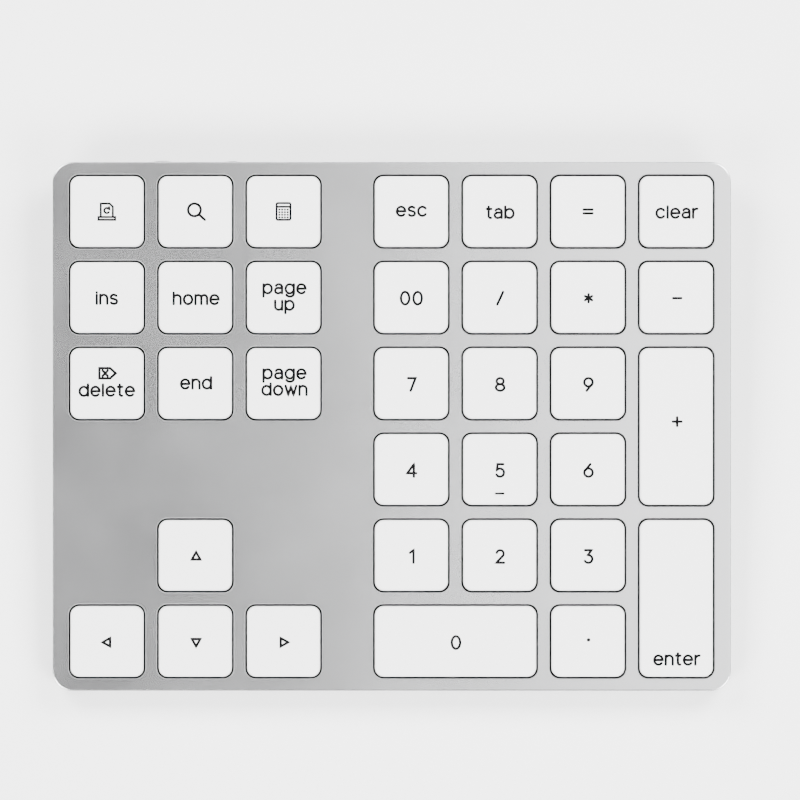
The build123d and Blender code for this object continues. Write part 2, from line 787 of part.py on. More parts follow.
hump_front_y = case_depth / 2 - hump_length
hump_width = case_width - 2 * hump_side_inset
cover_width = case_width - 2 * cover_inset
cover_depth = case_depth - 2 * cover_inset
cover_corner = case_corner - cover_inset
lip_outer_width = case_width - 2 * (case_wall + lip_clearance)
lip_outer_depth = case_depth - 2 * (case_wall + lip_clearance)
lip_corner = case_corner - case_wall - lip_clearance
hump_centre_y = (hump_front_y + rear_y) / 2
inside_front_y = hump_front_y + hump_wall
inside_centre_y = (inside_front_y + rear_inner_y) / 2
inside_width = hump_width - 2 * hump_wall
sloped_y = hump_front_y + hump_slope
inside_sloped_y = inside_front_y + hump_slope

with BuildPart() as hump:
    with BuildSketch(side):
        with BuildLine():
            Polyline(
                (hump_front_y, case_bottom_z - cover_thickness / 2),
                (hump_front_y, cover_bottom_z),
                (sloped_y, hump_floor(sloped_y)),
                (rear_y, hump_floor(rear_y)),
                (rear_y, case_bottom_z - cover_thickness / 2),
                close=True,
            )
        make_face()
    extrude(amount=hump_width / 2, both=True)
    with BuildSketch(deck):
        with Locations((0, hump_centre_y)):
            RectangleRounded(hump_width, rear_y - hump_front_y, hump_corner)
    extrude(amount=-case_depth, mode=Mode.INTERSECT)
    fillet(hump.faces().sort_by(Axis.Z)[0].edges(), hump_edge)

with BuildPart() as hump_room:
    with BuildSketch(side):
        with BuildLine():
            Polyline(
                (inside_front_y, case_bottom_z),
                (inside_front_y, cover_bottom_z),
                (inside_sloped_y, hump_floor(inside_sloped_y) + hump_wall),
                (rear_inner_y, hump_floor(rear_inner_y) + hump_wall),
                (rear_inner_y, case_bottom_z),
                close=True,
            )
        make_face()
    extrude(amount=inside_width / 2, both=True)
    with BuildSketch(deck):
        with Locations((0, inside_centre_y)):
            RectangleRounded(inside_width, rear_inner_y - inside_front_y, hump_corner - hump_wall)
    extrude(amount=-case_depth, mode=Mode.INTERSECT)

# Board pillars with locating pegs, screw tubes and the battery's ribs stand on the hump's floor.
board_bottom = board_top - board_thickness
pillar_x = (board_left + pillar_inset, board_left + board_length - pillar_inset)
pillars_at = [(x, board_front_y + pillar_inset) for x in pillar_x]
pillars_at += [(x, board_rear_y - pillar_inset) for x in pillar_x]
battery_x = battery_left + battery_length / 2
battery_rear_y = rear_inner_y - 2 * rib_gap
battery_y = battery_rear_y - battery_width / 2
battery_bottom_z = hump_floor(battery_rear_y - battery_width) + hump_wall + battery_floor_gap
rib_y = battery_rear_y - battery_width - rib_gap - rib_thickness / 2
rib_x = battery_width / 2
rear_foot_y = deck.from_local_coords((0, rear_y - rear_foot_inset, hump_floor(rear_y - rear_foot_inset))).Y
rear_tubes_at = [at for at in case_screws_at if at[1] > hump_front_y]
front_pads_at = [at for at in case_screws_at if at[1] < hump_front_y]

with BuildPart() as hump_posts:
    with BuildSketch(deck.offset(plate_bottom_z - post_gap)):
        with Locations(*rear_tubes_at):
            Circle(tube_radius)
    extrude(amount=-case_depth)
    with BuildSketch(deck.offset(board_bottom)):
        with Locations(*pillars_at):
            Circle(pillar_radius)
    extrude(amount=-case_depth)
    with BuildSketch(deck.offset(battery_bottom_z + rib_height)):
        with Locations((battery_x - rib_x, rib_y), (battery_x + rib_x, rib_y)):
            Rectangle(battery_width / 2, rib_thickness)
        with Locations((battery_left - rib_gap - rib_thickness / 2, battery_y)):
            Rectangle(rib_thickness, battery_width / 2)
        with Locations((battery_left + battery_length + rib_gap + rib_thickness / 2, battery_y)):
            Rectangle(rib_thickness, battery_width / 2)
    extrude(amount=-case_depth)
    add(hump.part, mode=Mode.INTERSECT)

with BuildPart() as bottom_cover:
    with BuildSketch(deck.offset(case_bottom_z)):
        RectangleRounded(cover_width, cover_depth, cover_corner)
    extrude(amount=-cover_thickness)
    add(hump.part)
    add(hump_room.part, mode=Mode.SUBTRACT)
    # Lip inside the case walls
    with BuildSketch(deck.offset(case_bottom_z)):
        RectangleRounded(lip_outer_width, lip_outer_depth, lip_corner)
        RectangleRounded(
            lip_outer_width - 2 * lip_width,
            lip_outer_depth - 2 * lip_width,
            lip_corner - lip_width,
            mode=Mode.SUBTRACT,
        )
    extrude(amount=lip_height)
    add(hump_posts.part)
    # Spacer pads at the front screws, and the four screws' holes and deep counterbores
    with BuildSketch(deck.offset(case_bottom_z)):
        with Locations(*front_pads_at):
            Circle(pad_radius)
    extrude(amount=under_plate_gap - post_gap)
    with BuildSketch(deck.offset(plate_bottom_z)):
        with Locations(*case_screws_at):
            Circle(screw_diameter / 2 + screw_clearance)
    extrude(amount=-case_depth, mode=Mode.SUBTRACT)
    with BuildSketch(deck.offset(head_top_z)):
        with Locations(*case_screws_at):
            Circle(screw_head_diameter / 2 + head_clearance)
    extrude(amount=-case_depth, mode=Mode.SUBTRACT)
    # Locating pegs of the board
    with BuildSketch(deck.offset(board_bottom)):
        with Locations(*pillars_at):
            Circle(peg_radius)
    extrude(amount=board_thickness + peg_radius)
    # Openings of the rear wall
    with BuildSketch(rear.offset(rear_inner_y)):
        with Locations((-socket_x, socket_z)):
            SlotOverall(socket_width + 2 * socket_fit, socket_height + 2 * socket_fit)
        with Locations((-(switch_x + switch_travel / 2), switch_axis_z)):
            Rectangle(knob_width + switch_travel + 2 * knob_fit, knob_height + 2 * knob_fit)
        with Locations((-button_x, button_z)):
            Circle(button_diameter / 2 + button_fit)
        with Locations((-light_x, button_z)):
            Circle(light_diameter / 2 + light_fit)
    extrude(amount=rear_wall, mode=Mode.SUBTRACT)
    # Recesses for the feet
    with BuildSketch(deck.offset(cover_bottom_z)):
        with Locations((-foot_x, front_foot_y), (foot_x, front_foot_y)):
            SlotOverall(foot_length + 2 * foot_fit, foot_width + 2 * foot_fit)
    extrude(amount=foot_sink, mode=Mode.SUBTRACT)
    with BuildSketch(Plane.XY.offset(foot_proud)):
        with Locations((-foot_x, rear_foot_y), (foot_x, rear_foot_y)):
            SlotOverall(foot_length + 2 * foot_fit, foot_width + 2 * foot_fit)
    extrude(amount=foot_sink, mode=Mode.SUBTRACT)
bottom_cover.part.label = "bottom_cover"
export_step(bottom_cover.part, "parts/bottom_cover.step")

with BuildPart() as rubber_feet:
    with BuildSketch(deck.offset(cover_bottom_z + foot_sink)):
        with Locations((-foot_x, front_foot_y), (foot_x, front_foot_y)):
            SlotOverall(foot_length, foot_width)
    extrude(amount=-(foot_sink + foot_proud + foot_width * tilt_sin))
    split(bisect_by=Plane.XY, keep=Keep.TOP)
    with BuildSketch(Plane.XY):
        with Locations((-foot_x, rear_foot_y), (foot_x, rear_foot_y)):
            SlotOverall(foot_length, foot_width)
    extrude(amount=foot_proud + foot_sink)
rubber_feet.part.label = "rubber_feet"
export_step(rubber_feet.part, "parts/rubber_feet.step")


# ---------------------------------------------------------------------------
# Circuit board and what stands on it
# ---------------------------------------------------------------------------

connector_y = connector_front_y + connector_length / 2
plug_x = board_left + board_length - plug_length / 2 - plug_inset

with BuildPart() as main_circuit_board:
    with BuildSketch(deck.offset(board_bottom)):
        with Locations((board_x, board_front_y + board_width / 2)):
            RectangleRounded(board_length, board_width, board_corner)
        with Locations(*pillars_at):
            Circle(peg_radius + peg_fit, mode=Mode.SUBTRACT)
    extrude(amount=board_thickness)
    # Shielded radio, its aerial block, the controller and small parts
    for x, y, length, width, height in board_parts:
        with BuildSketch(deck.offset(board_top)):
            with Locations((board_left + x, board_front_y + y)):
                Rectangle(length, width)
        extrude(amount=height)
    # Socket for the battery's plug, and the light source behind the light pipe
    with BuildSketch(deck.offset(board_top)):
        with Locations((plug_x, battery_y)):
            Rectangle(plug_length, plug_width)
    extrude(amount=plug_height)
    with BuildSketch(deck.offset(board_top)):
        with Locations((light_x, light_source_y)):
            Rectangle(light_diameter, light_source_length)
    extrude(amount=button_z + light_diameter / 2 - board_top)
main_circuit_board.part.label = "main_circuit_board"
export_step(main_circuit_board.part, "parts/main_circuit_board.step")

with BuildPart() as membrane_connector:
    with BuildSketch(deck.offset(board_top)):
        with Locations((tail_x, connector_y)):
            Rectangle(connector_width, connector_length)
    extrude(amount=connector_height)
    with BuildSketch(deck.offset(tail_low_z - film_thickness)):
        with Locations((tail_x, connector_front_y)):
            Rectangle(tail_width + 2 * film_thickness, connector_length)
    extrude(amount=2 * film_thickness, mode=Mode.SUBTRACT)
membrane_connector.part.label = "membrane_connector"
export_step(membrane_connector.part, "parts/membrane_connector.step")

socket_mouth_y = rear_y - socket_recess
socket_back_y = socket_mouth_y - socket_length
socket_block_width = socket_width - 2 * (socket_wall + socket_block_fit)
socket_block_height = socket_height - 2 * (socket_wall + socket_block_fit)

with BuildPart() as usb_socket_shell:
    with BuildSketch(rear.offset(socket_back_y)):
        with Locations((-socket_x, socket_z)):
            SlotOverall(socket_width, socket_height)
            SlotOverall(socket_width - 2 * socket_wall, socket_height - 2 * socket_wall, mode=Mode.SUBTRACT)
    extrude(amount=socket_length)
usb_socket_shell.part.label = "usb_socket_shell"
export_step(usb_socket_shell.part, "parts/usb_socket_shell.step")

with BuildPart() as usb_socket_tongue:
    with BuildSketch(rear.offset(socket_back_y)):
        with Locations((-socket_x, socket_z)):
            SlotOverall(socket_block_width, socket_block_height)
    extrude(amount=socket_block_length)
    with BuildSketch(rear.offset(socket_back_y + socket_block_length)):
        with Locations((-socket_x, socket_z)):
            RectangleRounded(socket_tongue_width, socket_tongue_thickness, socket_tongue_corner)
    extrude(amount=socket_tongue_length)
usb_socket_tongue.part.label = "usb_socket_tongue"
export_step(usb_socket_tongue.part, "parts/usb_socket_tongue.step")

# Power switch: a body on the board and a knob whose carriage slides behind the wall
carriage_rear_y = rear_inner_y - carriage_gap
carriage_front_y = carriage_rear_y - carriage_thickness
switch_front_y = carriage_front_y - carriage_gap
window_width = stem_width + switch_travel + 2 * knob_fit

with BuildPart() as power_switch_body:
    with BuildSketch(deck.offset(board_top)):
        with Locations((switch_x + switch_travel / 2, switch_front_y - switch_body_length / 2)):
            Rectangle(switch_body_width, switch_body_length)
    extrude(amount=switch_body_height)
    with BuildSketch(rear.offset(switch_front_y)):
        with Locations((-(switch_x + switch_travel / 2), switch_axis_z)):
            Rectangle(window_width, switch_window_height)
    extrude(amount=-(stem_length + knob_fit), mode=Mode.SUBTRACT)
power_switch_body.part.label = "power_switch_body"
export_step(power_switch_body.part, "parts/power_switch_body.step")

with BuildPart() as power_switch_slider:
    with BuildSketch(rear.offset(carriage_front_y)):
        with Locations((-switch_x, switch_axis_z)):
            Rectangle(knob_width + 2 * carriage_overlap, knob_height + 2 * carriage_overlap)
    extrude(amount=carriage_thickness)
    with BuildSketch(rear.offset(carriage_rear_y)):
        with Locations((-switch_x, switch_axis_z)):
            Rectangle(knob_width, knob_height)
    extrude(amount=knob_end_y - carriage_rear_y)
    with BuildSketch(rear.offset(carriage_front_y)):
        with Locations((-switch_x, switch_axis_z)):
            Rectangle(stem_width, stem_width)
    extrude(amount=-(carriage_gap + stem_length))
power_switch_slider.part.label = "power_switch_slider"
export_step(power_switch_slider.part, "parts/power_switch_slider.step")

# Pairing button: a flanged pin in front of a tactile switch
flange_rear_y = rear_inner_y - carriage_gap
flange_front_y = flange_rear_y - button_flange_thickness
tact_face_y = flange_front_y - button_travel - tact_gap

with BuildPart() as pairing_button:
    with BuildSketch(rear.offset(flange_front_y)):
        with Locations((-button_x, button_z)):
            Circle(button_diameter / 2 + button_flange)
    extrude(amount=button_flange_thickness)
    with BuildSketch(rear.offset(flange_rear_y)):
        with Locations((-button_x, button_z)):
            Circle(button_diameter / 2)
    extrude(amount=case_depth / 2 + button_proud - flange_rear_y)
    fillet(pairing_button.faces().sort_by(Axis(deck.origin, deck.y_dir))[-1].edges(), button_proud / 2)
pairing_button.part.label = "pairing_button"
export_step(pairing_button.part, "parts/pairing_button.step")

with BuildPart() as pairing_tact_switch:
    with BuildSketch(deck.offset(board_top)):
        with Locations((button_x, tact_face_y - tact_length / 2)):
            Rectangle(tact_width, tact_length)
    extrude(amount=tact_height)
pairing_tact_switch.part.label = "pairing_tact_switch"
export_step(pairing_tact_switch.part, "parts/pairing_tact_switch.step")

with BuildPart() as status_light_pipe:
    with BuildSketch(rear.offset(rear_inner_y - light_flange_thickness)):
        with Locations((-light_x, button_z)):
            Circle(light_diameter / 2 + light_flange)
    extrude(amount=light_flange_thickness)
    with BuildSketch(rear.offset(rear_inner_y)):
        with Locations((-light_x, button_z)):
            Circle(light_diameter / 2)
    extrude(amount=rear_wall)
status_light_pipe.part.label = "status_light_pipe"
export_step(status_light_pipe.part, "parts/status_light_pipe.step")


# ---------------------------------------------------------------------------
# Battery and its leads
# ---------------------------------------------------------------------------

with BuildPart() as battery_cell:
    with BuildSketch(deck.offset(battery_bottom_z)):
        with Locations((battery_x, battery_y)):
            RectangleRounded(battery_length, battery_width, battery_corner)
    extrude(amount=battery_thickness)
battery_cell.part.label = "battery_cell"
export_step(battery_cell.part, "parts/battery_cell.step")

lead_high_z = battery_bottom_z + battery_thickness - lead_diameter
lead_low_z = board_top + plug_height / 2
lead_end_x = plug_x + plug_length / 2
lead_middle_x = (lead_end_x + battery_left) / 2

with BuildPart() as battery_leads:
    for lead_y in (battery_y - lead_space / 2, battery_y + lead_space / 2):
        with BuildLine() as lead:
            FilletPolyline(
                deck.from_local_coords((battery_left, lead_y, lead_high_z)),
                deck.from_local_coords((lead_middle_x + lead_slope, lead_y, lead_high_z)),
                deck.from_local_coords((lead_middle_x - lead_slope, lead_y, lead_low_z)),
                deck.from_local_coords((lead_end_x, lead_y, lead_low_z)),
                radius=lead_bend,
            )
        with BuildSketch(Plane(origin=lead.line @ 0, z_dir=-deck.x_dir)):
            Circle(lead_diameter / 2)
        sweep(path=lead.line)
battery_leads.part.label = "battery_leads"
export_step(battery_leads.part, "parts/battery_leads.step")
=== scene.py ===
import json
import math

import bpy
import numpy as np
from bpy.props import FloatProperty, FloatVectorProperty, PointerProperty
from mathutils import Matrix


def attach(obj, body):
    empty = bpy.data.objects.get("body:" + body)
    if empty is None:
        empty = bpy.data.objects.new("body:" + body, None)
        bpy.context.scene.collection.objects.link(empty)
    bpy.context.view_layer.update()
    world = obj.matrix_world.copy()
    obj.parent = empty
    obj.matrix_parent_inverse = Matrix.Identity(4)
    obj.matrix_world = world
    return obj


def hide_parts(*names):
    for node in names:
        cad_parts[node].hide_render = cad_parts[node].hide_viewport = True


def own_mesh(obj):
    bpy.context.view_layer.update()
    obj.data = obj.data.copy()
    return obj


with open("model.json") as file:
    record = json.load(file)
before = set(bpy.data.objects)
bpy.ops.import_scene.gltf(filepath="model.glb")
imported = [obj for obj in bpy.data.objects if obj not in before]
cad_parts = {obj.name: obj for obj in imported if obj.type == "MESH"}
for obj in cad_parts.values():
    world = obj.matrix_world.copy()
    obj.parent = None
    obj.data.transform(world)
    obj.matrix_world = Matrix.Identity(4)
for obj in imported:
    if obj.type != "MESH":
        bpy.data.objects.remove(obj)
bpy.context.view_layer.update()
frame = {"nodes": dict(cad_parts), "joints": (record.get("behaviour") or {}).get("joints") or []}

bl_info = {
    "name": "Numeric keypad",
    "version": (1, 0, 0),
    "blender": (4, 5, 0),
    "location": "3D View > Sidebar > Keypad",
    "description": "Builds the keycaps, legends, levers and finishes of a slim numeric keypad",
    "category": "Object",
}

MM = 0.001

# ---------------------------------------------------------------------------
# The deck's frame: x to the right, y to the rear along the deck, z out of it.
# ---------------------------------------------------------------------------

JOINTS = {joint["name"]: joint for joint in frame["joints"]}
KEY_JOINTS = {
    joint["child"]: joint
    for joint in frame["joints"]
    if joint["name"].startswith("press_") and joint["child"].startswith("key_")
}
NORMAL = -np.array(JOINTS["press_5"]["axis"], float)
NORMAL /= np.linalg.norm(NORMAL)
RIGHT = np.array([1.0, 0.0, 0.0])
REARWARD = np.cross(NORMAL, RIGHT)
DECK = np.array([RIGHT, REARWARD, NORMAL])


def corners_of(node):
    """A node's vertices in the row's frame, in metres."""
    mesh = frame["nodes"][node].data
    flat = np.empty(len(mesh.vertices) * 3)
    mesh.vertices.foreach_get("co", flat)
    return flat.reshape(-1, 3)


def span(node, origin=np.zeros(3)):
    """Lowest and highest corner of a node in the deck's frame, from origin."""
    points = corners_of(node) @ DECK.T - origin
    return points.min(axis=0), points.max(axis=0)


CASE_LOW, CASE_HIGH = span("top_case")
ORIGIN = np.array([0.0, (CASE_LOW[1] + CASE_HIGH[1]) / 2, CASE_HIGH[2]])
FILM_TOP = span("membrane_top_layer", ORIGIN)[1][2]


def to_row(points):
    """Takes points from the deck's frame to the row's frame."""
    return (np.asarray(points, float) + ORIGIN) @ DECK


# ---------------------------------------------------------------------------
# Mesh builders. A shell is (points, faces), and a piece is made of shells.
# ---------------------------------------------------------------------------


def quads(rows, columns, first=0):
    """Faces of a grid of rows by columns whose columns close on themselves."""
    i, j = np.meshgrid(np.arange(rows - 1), np.arange(columns), indexing="ij")
    a = first + i * columns + j
    b = first + i * columns + (j + 1) % columns
    return np.stack([a, b, b + columns, a + columns], axis=-1).reshape(-1, 4).tolist()


def rings_shell(rings, start=None, end=None):
    """A surface through closed rings (rows, columns, 3); a start or end point closes it with a
    fan, and without either the last ring joins the first, as in a tube bent into a loop."""
    rings = np.asarray(rings, float)
    rows, columns = rings.shape[:2]
    if start is None and end is None:
        rings = np.concatenate([rings, rings[:1]])
        points = rings[:-1].reshape(-1, 3)
        count = len(points)
        faces = [[v % count for v in face] for face in quads(rows + 1, columns)]
        return points, faces
    points = np.concatenate([rings.reshape(-1, 3), [start], [end]])
    faces = quads(rows, columns)
    j = np.arange(columns)
    k = (j + 1) % columns
    last = (rows - 1) * columns
    faces += np.stack([k, j, np.full(columns, rows * columns)], axis=-1).tolist()
    faces += np.stack([last + j, last + k, np.full(columns, rows * columns + 1)], axis=-1).tolist()
    return points, faces


def prism_shell(ring_a, ring_b):
    """A solid between two matching closed outlines, each end one flat face."""
    count = len(ring_a)
    points = np.concatenate([ring_a, ring_b])
    faces = quads(2, count)
    faces.append(list(range(count))[::-1])
    faces.append(list(range(count, 2 * count)))
    return points, faces


def tube_shell(path, radius, sides=10):
    """A round wire: circles of one radius, each square to the path's direction at its point."""
    path = np.asarray(path, float)
    run = np.gradient(path, axis=0)
    run /= np.linalg.norm(run, axis=1)[:, None]
    across = np.cross(run, [0.0, 0.0, 1.0])
    flat = np.linalg.norm(across, axis=1) < 1e-6
    across[flat] = [1.0, 0.0, 0.0]
    across /= np.linalg.norm(across, axis=1)[:, None]
    up = np.cross(across, run)
    turn = np.linspace(0, 2 * np.pi, sides, endpoint=False)
    rings = (
        path[:, None]
        + radius * np.cos(turn)[None, :, None] * across[:, None]
        + radius * np.sin(turn)[None, :, None] * up[:, None]
    )
    return rings_shell(rings[:, ::-1], start=path[0], end=path[-1])


def rounded_outline(half_x, half_y, radius, steps=7, side_steps=5):
    """A rounded rectangle, anticlockwise: four quarter arcs joined by evenly divided sides, or
    meeting in one point where a side has no length."""
    radius = min(radius, half_x, half_y)
    turn = np.linspace(0, np.pi / 2, steps + 1)
    arcs = []
    for quarter in range(4):
        angle = turn + quarter * np.pi / 2
        cx = (half_x - radius) * (1 if quarter in (0, 3) else -1)
        cy = (half_y - radius) * (1 if quarter in (0, 1) else -1)
        arcs.append(np.stack([cx + radius * np.cos(angle), cy + radius * np.sin(angle)], axis=-1))
    outline = []
    for quarter in range(4):
        a, b = arcs[quarter][-1], arcs[(quarter + 1) % 4][0]
        if np.linalg.norm(b - a) < 1e-9:
            outline.append(arcs[quarter][:-1])
            continue
        outline.append(arcs[quarter])
        share = np.linspace(0, 1, side_steps + 2)[1:-1, None]
        outline.append(a + (b - a) * share)
    return np.concatenate(outline)


def ring_at(outline, z):
    """Lifts a flat outline to the height z, a number or one for each point."""
    return np.column_stack([outline, np.broadcast_to(z, len(outline))])


def make_piece(name, shells, material, body, replaced=(), smooth=40.0):
    """Joins shells given in the deck's frame into one mesh in the row's frame, smooth where
    faces meet at less than the given angle, and says what it rides on and stands for."""
    points, faces, count = [], [], 0
    for shell_points, shell_faces in shells:
        points.append(to_row(shell_points))
        faces += [[v + count for v in face] for face in shell_faces]
        count += len(shell_points)
    mesh = bpy.data.meshes.new(name)
    mesh.from_pydata(np.concatenate(points).tolist(), [], faces)
    mesh.update()
    mesh.polygons.foreach_set("use_smooth", np.ones(len(mesh.polygons), bool))
    mesh.set_sharp_from_angle(angle=math.radians(smooth))
    mesh.materials.append(material)
    piece = bpy.data.objects.new(name, mesh)
    bpy.context.scene.collection.objects.link(piece)
    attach(piece, body)
    if replaced:
        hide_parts(*replaced)
    return piece


# ---------------------------------------------------------------------------
# Finishes
# ---------------------------------------------------------------------------


def grain_group():
    """Fine surface grain: two sizes of noise give a small change of roughness, and the finer
    one gives a bump. Its outputs are Roughness, Normal and a Tone that varies slowly."""
    if "Fine grain" in bpy.data.node_groups:
        return bpy.data.node_groups["Fine grain"]
    group = bpy.data.node_groups.new("Fine grain", "ShaderNodeTree")
    face = group.interface
    inputs = [("Scale", 3000.0), ("Depth", 0.1), ("Roughness", 0.4), ("Spread", 0.05)]
    for name, default in inputs:
        face.new_socket(name, in_out="INPUT", socket_type="NodeSocketFloat").default_value = default
    face.new_socket("Vector", in_out="INPUT", socket_type="NodeSocketVector")
    face.new_socket("Roughness", in_out="OUTPUT", socket_type="NodeSocketFloat")
    face.new_socket("Tone", in_out="OUTPUT", socket_type="NodeSocketFloat")
    face.new_socket("Normal", in_out="OUTPUT", socket_type="NodeSocketVector")
    nodes, links = group.nodes, group.links
    given = nodes.new("NodeGroupInput")
    result = nodes.new("NodeGroupOutput")
    fine = nodes.new("ShaderNodeTexNoise")
    fine.inputs["Detail"].default_value = 3.0
    slow = nodes.new("ShaderNodeTexNoise")
    slow.inputs["Detail"].default_value = 2.0
    slow.inputs["Scale"].default_value = 60.0
    links.new(given.outputs["Vector"], fine.inputs["Vector"])
    links.new(given.outputs["Vector"], slow.inputs["Vector"])
    links.new(given.outputs["Scale"], fine.inputs["Scale"])
    mixed = nodes.new("ShaderNodeMath")
    mixed.operation = "ADD"
    links.new(fine.outputs["Fac"], mixed.inputs[0])
    links.new(slow.outputs["Fac"], mixed.inputs[1])
    centred = nodes.new("ShaderNodeMath")
    centred.operation = "SUBTRACT"
    centred.inputs[1].default_value = 1.0
    links.new(mixed.outputs[0], centred.inputs[0])
    rough = nodes.new("ShaderNodeMath")
    rough.operation = "MULTIPLY_ADD"
    links.new(centred.outputs[0], rough.inputs[0])
    links.new(given.outputs["Spread"], rough.inputs[1])
    links.new(given.outputs["Roughness"], rough.inputs[2])
    bump = nodes.new("ShaderNodeBump")
    bump.inputs["Distance"].default_value = 0.00005
    links.new(given.outputs["Depth"], bump.inputs["Strength"])
    links.new(fine.outputs["Fac"], bump.inputs["Height"])
    links.new(rough.outputs[0], result.inputs["Roughness"])
    links.new(slow.outputs["Fac"], result.inputs["Tone"])
    links.new(bump.outputs["Normal"], result.inputs["Normal"])
    return group


def finish_of(name, light, dark, roughness, metallic=0.0, scale=3000.0, depth=0.1, spread=0.05, **sockets):
    """A material whose colour drifts slowly between two tones and whose gloss and bump come
    from the fine grain; sockets sets plain values on the shader itself."""
    if name in bpy.data.materials:
        return bpy.data.materials[name]
    material = bpy.data.materials.new(name)
    material.use_nodes = True
    nodes, links = material.node_tree.nodes, material.node_tree.links
    shader = nodes["Principled BSDF"]
    place = nodes.new("ShaderNodeTexCoord")
    grain = nodes.new("ShaderNodeGroup")
    grain.node_tree = grain_group()
    grain.inputs["Scale"].default_value = scale
    grain.inputs["Depth"].default_value = depth
    grain.inputs["Roughness"].default_value = roughness
    grain.inputs["Spread"].default_value = spread
    links.new(place.outputs["Object"], grain.inputs["Vector"])
    tones = nodes.new("ShaderNodeMix")
    tones.data_type = "RGBA"
    tones.inputs["A"].default_value = (*dark, 1.0)
    tones.inputs["B"].default_value = (*light, 1.0)
    links.new(grain.outputs["Tone"], tones.inputs["Factor"])
    links.new(tones.outputs["Result"], shader.inputs["Base Color"])
    links.new(grain.outputs["Roughness"], shader.inputs["Roughness"])
    links.new(grain.outputs["Normal"], shader.inputs["Normal"])
    shader.inputs["Metallic"].default_value = metallic
    for socket, value in sockets.items():
        shader.inputs[socket.replace("_", " ")].default_value = value
    return material


def shade(colour, factor):
    """The colour multiplied by a factor."""
    return tuple(channel * factor for channel in colour)


def dress(node, material):
    """Gives a CAD node's object one material."""
    slots = frame["nodes"][node].material_slots
    if not slots:
        frame["nodes"][node].data.materials.append(material)
    for slot in slots:
        slot.material = material


# ---------------------------------------------------------------------------
# Settings
# ---------------------------------------------------------------------------


def length_property(name, default, description):
    """A property that holds a length in metres."""
    return FloatProperty(name=name, description=description, default=default, unit="LENGTH")


def colour_property(name, default, description):
    """A property that holds a colour."""
    return FloatVectorProperty(name=name, description=description, default=default, subtype="COLOR")


class KeycapSettings(bpy.types.PropertyGroup):
    """Sizes and colours of the keycaps and their legends."""

    dish: length_property("Dish", 0.00016, "Depth of the hollow in a cap's top")
    edge: length_property("Edge", 0.00045, "Rounding round a cap's top")
    corner: length_property("Corner", 0.0019, "Radius of a cap's corners")
    wall: length_property("Wall", 0.0008, "Thickness of a cap's skirt")
    ceiling: length_property("Ceiling", 0.001, "Thickness of a cap's top")
    inset: length_property("Inset", 0.00007, "How far a moulded cap stays inside its nominal outline")
    draft: length_property("Draft", 0.00006, "How much narrower a cap is at its top")
    stroke: length_property("Stroke", 0.00056, "Width of a legend's lines")
    fine_stroke: length_property("Fine stroke", 0.00046, "Width of the lines of the small pictures")
    ink_height: length_property("Ink", 0.00001, "Thickness of the printed legend")
    cap_colour: colour_property("Cap colour", (0.9, 0.9, 0.9), "Colour of the caps")
    ink_colour: colour_property("Ink colour", (0.003, 0.003, 0.0033), "Colour of the legends")


class CaseSettings(bpy.types.PropertyGroup):
    """Colours of the case, the cover and the feet."""

    metal_colour: colour_property("Metal colour", (0.80, 0.805, 0.815), "Colour of the aluminium")
    metal_gloss: FloatProperty(
        name="Metal roughness",
        description="Roughness of the blasted aluminium",
        default=0.25,
        subtype="FACTOR",
    )
    cover_colour: colour_property("Cover colour", (0.52, 0.525, 0.53), "Colour of the bottom cover")
    foot_colour: colour_property("Foot colour", (0.22, 0.22, 0.23), "Colour of the rubber feet")
    foot_edge: length_property("Foot edge", 0.0004, "Rounding round a foot")


class StageSettings(bpy.types.PropertyGroup):
    """Floor and camera."""

    floor_colour: colour_property("Floor colour", (0.94, 0.94, 0.94), "Colour of the floor")
    floor_size: length_property("Floor size", 6.0, "Length of the floor's side")
    view_width: length_property("View width", 0.1722, "Width of what the camera sees")
    lens: FloatProperty(name="Lens", description="Focal length of the camera, in millimetres", default=400.0)
    aim_x: length_property("Aim x", 0.0018, "Where the camera aims, right of the case's centre")
    aim_y: length_property("Aim y", 0.0057, "Where the camera aims, rearward of the case's centre")


def settings(kind):
    """The scene's settings of one kind: keycaps, case or stage."""
    return getattr(bpy.context.scene, "keypad_" + kind)


# ---------------------------------------------------------------------------
# Sizes that the caps share with the levers under them. A reach is an end bar's
# distance from the key's centre, and a height is measured from the deck.
# ---------------------------------------------------------------------------

UPPER_REACH = 5.2 * MM
INNER_REACH = 4.0 * MM
BAR_RADIUS = 0.45 * MM
BAR_FIT = 0.1 * MM
ARM_WIDTH = 0.8 * MM
OUTER_ARM = 5.2 * MM
INNER_ARM = 3.9 * MM
UPPER_Z = 0.2 * MM
LOWER_Z = FILM_TOP + 0.65 * MM
CLIP_X = 1.5 * MM
CLIP_WIDTH = 1.0 * MM
CLIP_LENGTH = 1.3 * MM
CLIP_DEPTH = 1.1 * MM

# ---------------------------------------------------------------------------
# Keycaps
# ---------------------------------------------------------------------------

TOP_SHARES = (0.08, 0.2, 0.34, 0.48, 0.62, 0.76, 0.88, 0.96)
EDGE_DEGREES = (0, 18, 36, 54, 72, 90)
SKIRT_RIM = 0.1 * MM


def cap_frame(node):
    """Centre of a key's cap, its half width and half depth, and its top and bottom heights. The
    homing bar stands above a cap's top, so the height is taken from a plain key."""
    low, high = span(node, ORIGIN)
    top = span("key_8", ORIGIN)[1][2]
    return (low[:2] + high[:2]) / 2, (high[:2] - low[:2]) / 2 - settings("keycaps").inset, top, low[2]


def dished(x, y, half, top, dish):
    """Height of a cap's top: the top less the dish times (1 - (x/a)^2)(1 - (y/b)^2)."""
    return top - dish * (1 - (x / half[0]) ** 2) * (1 - (y / half[1]) ** 2)


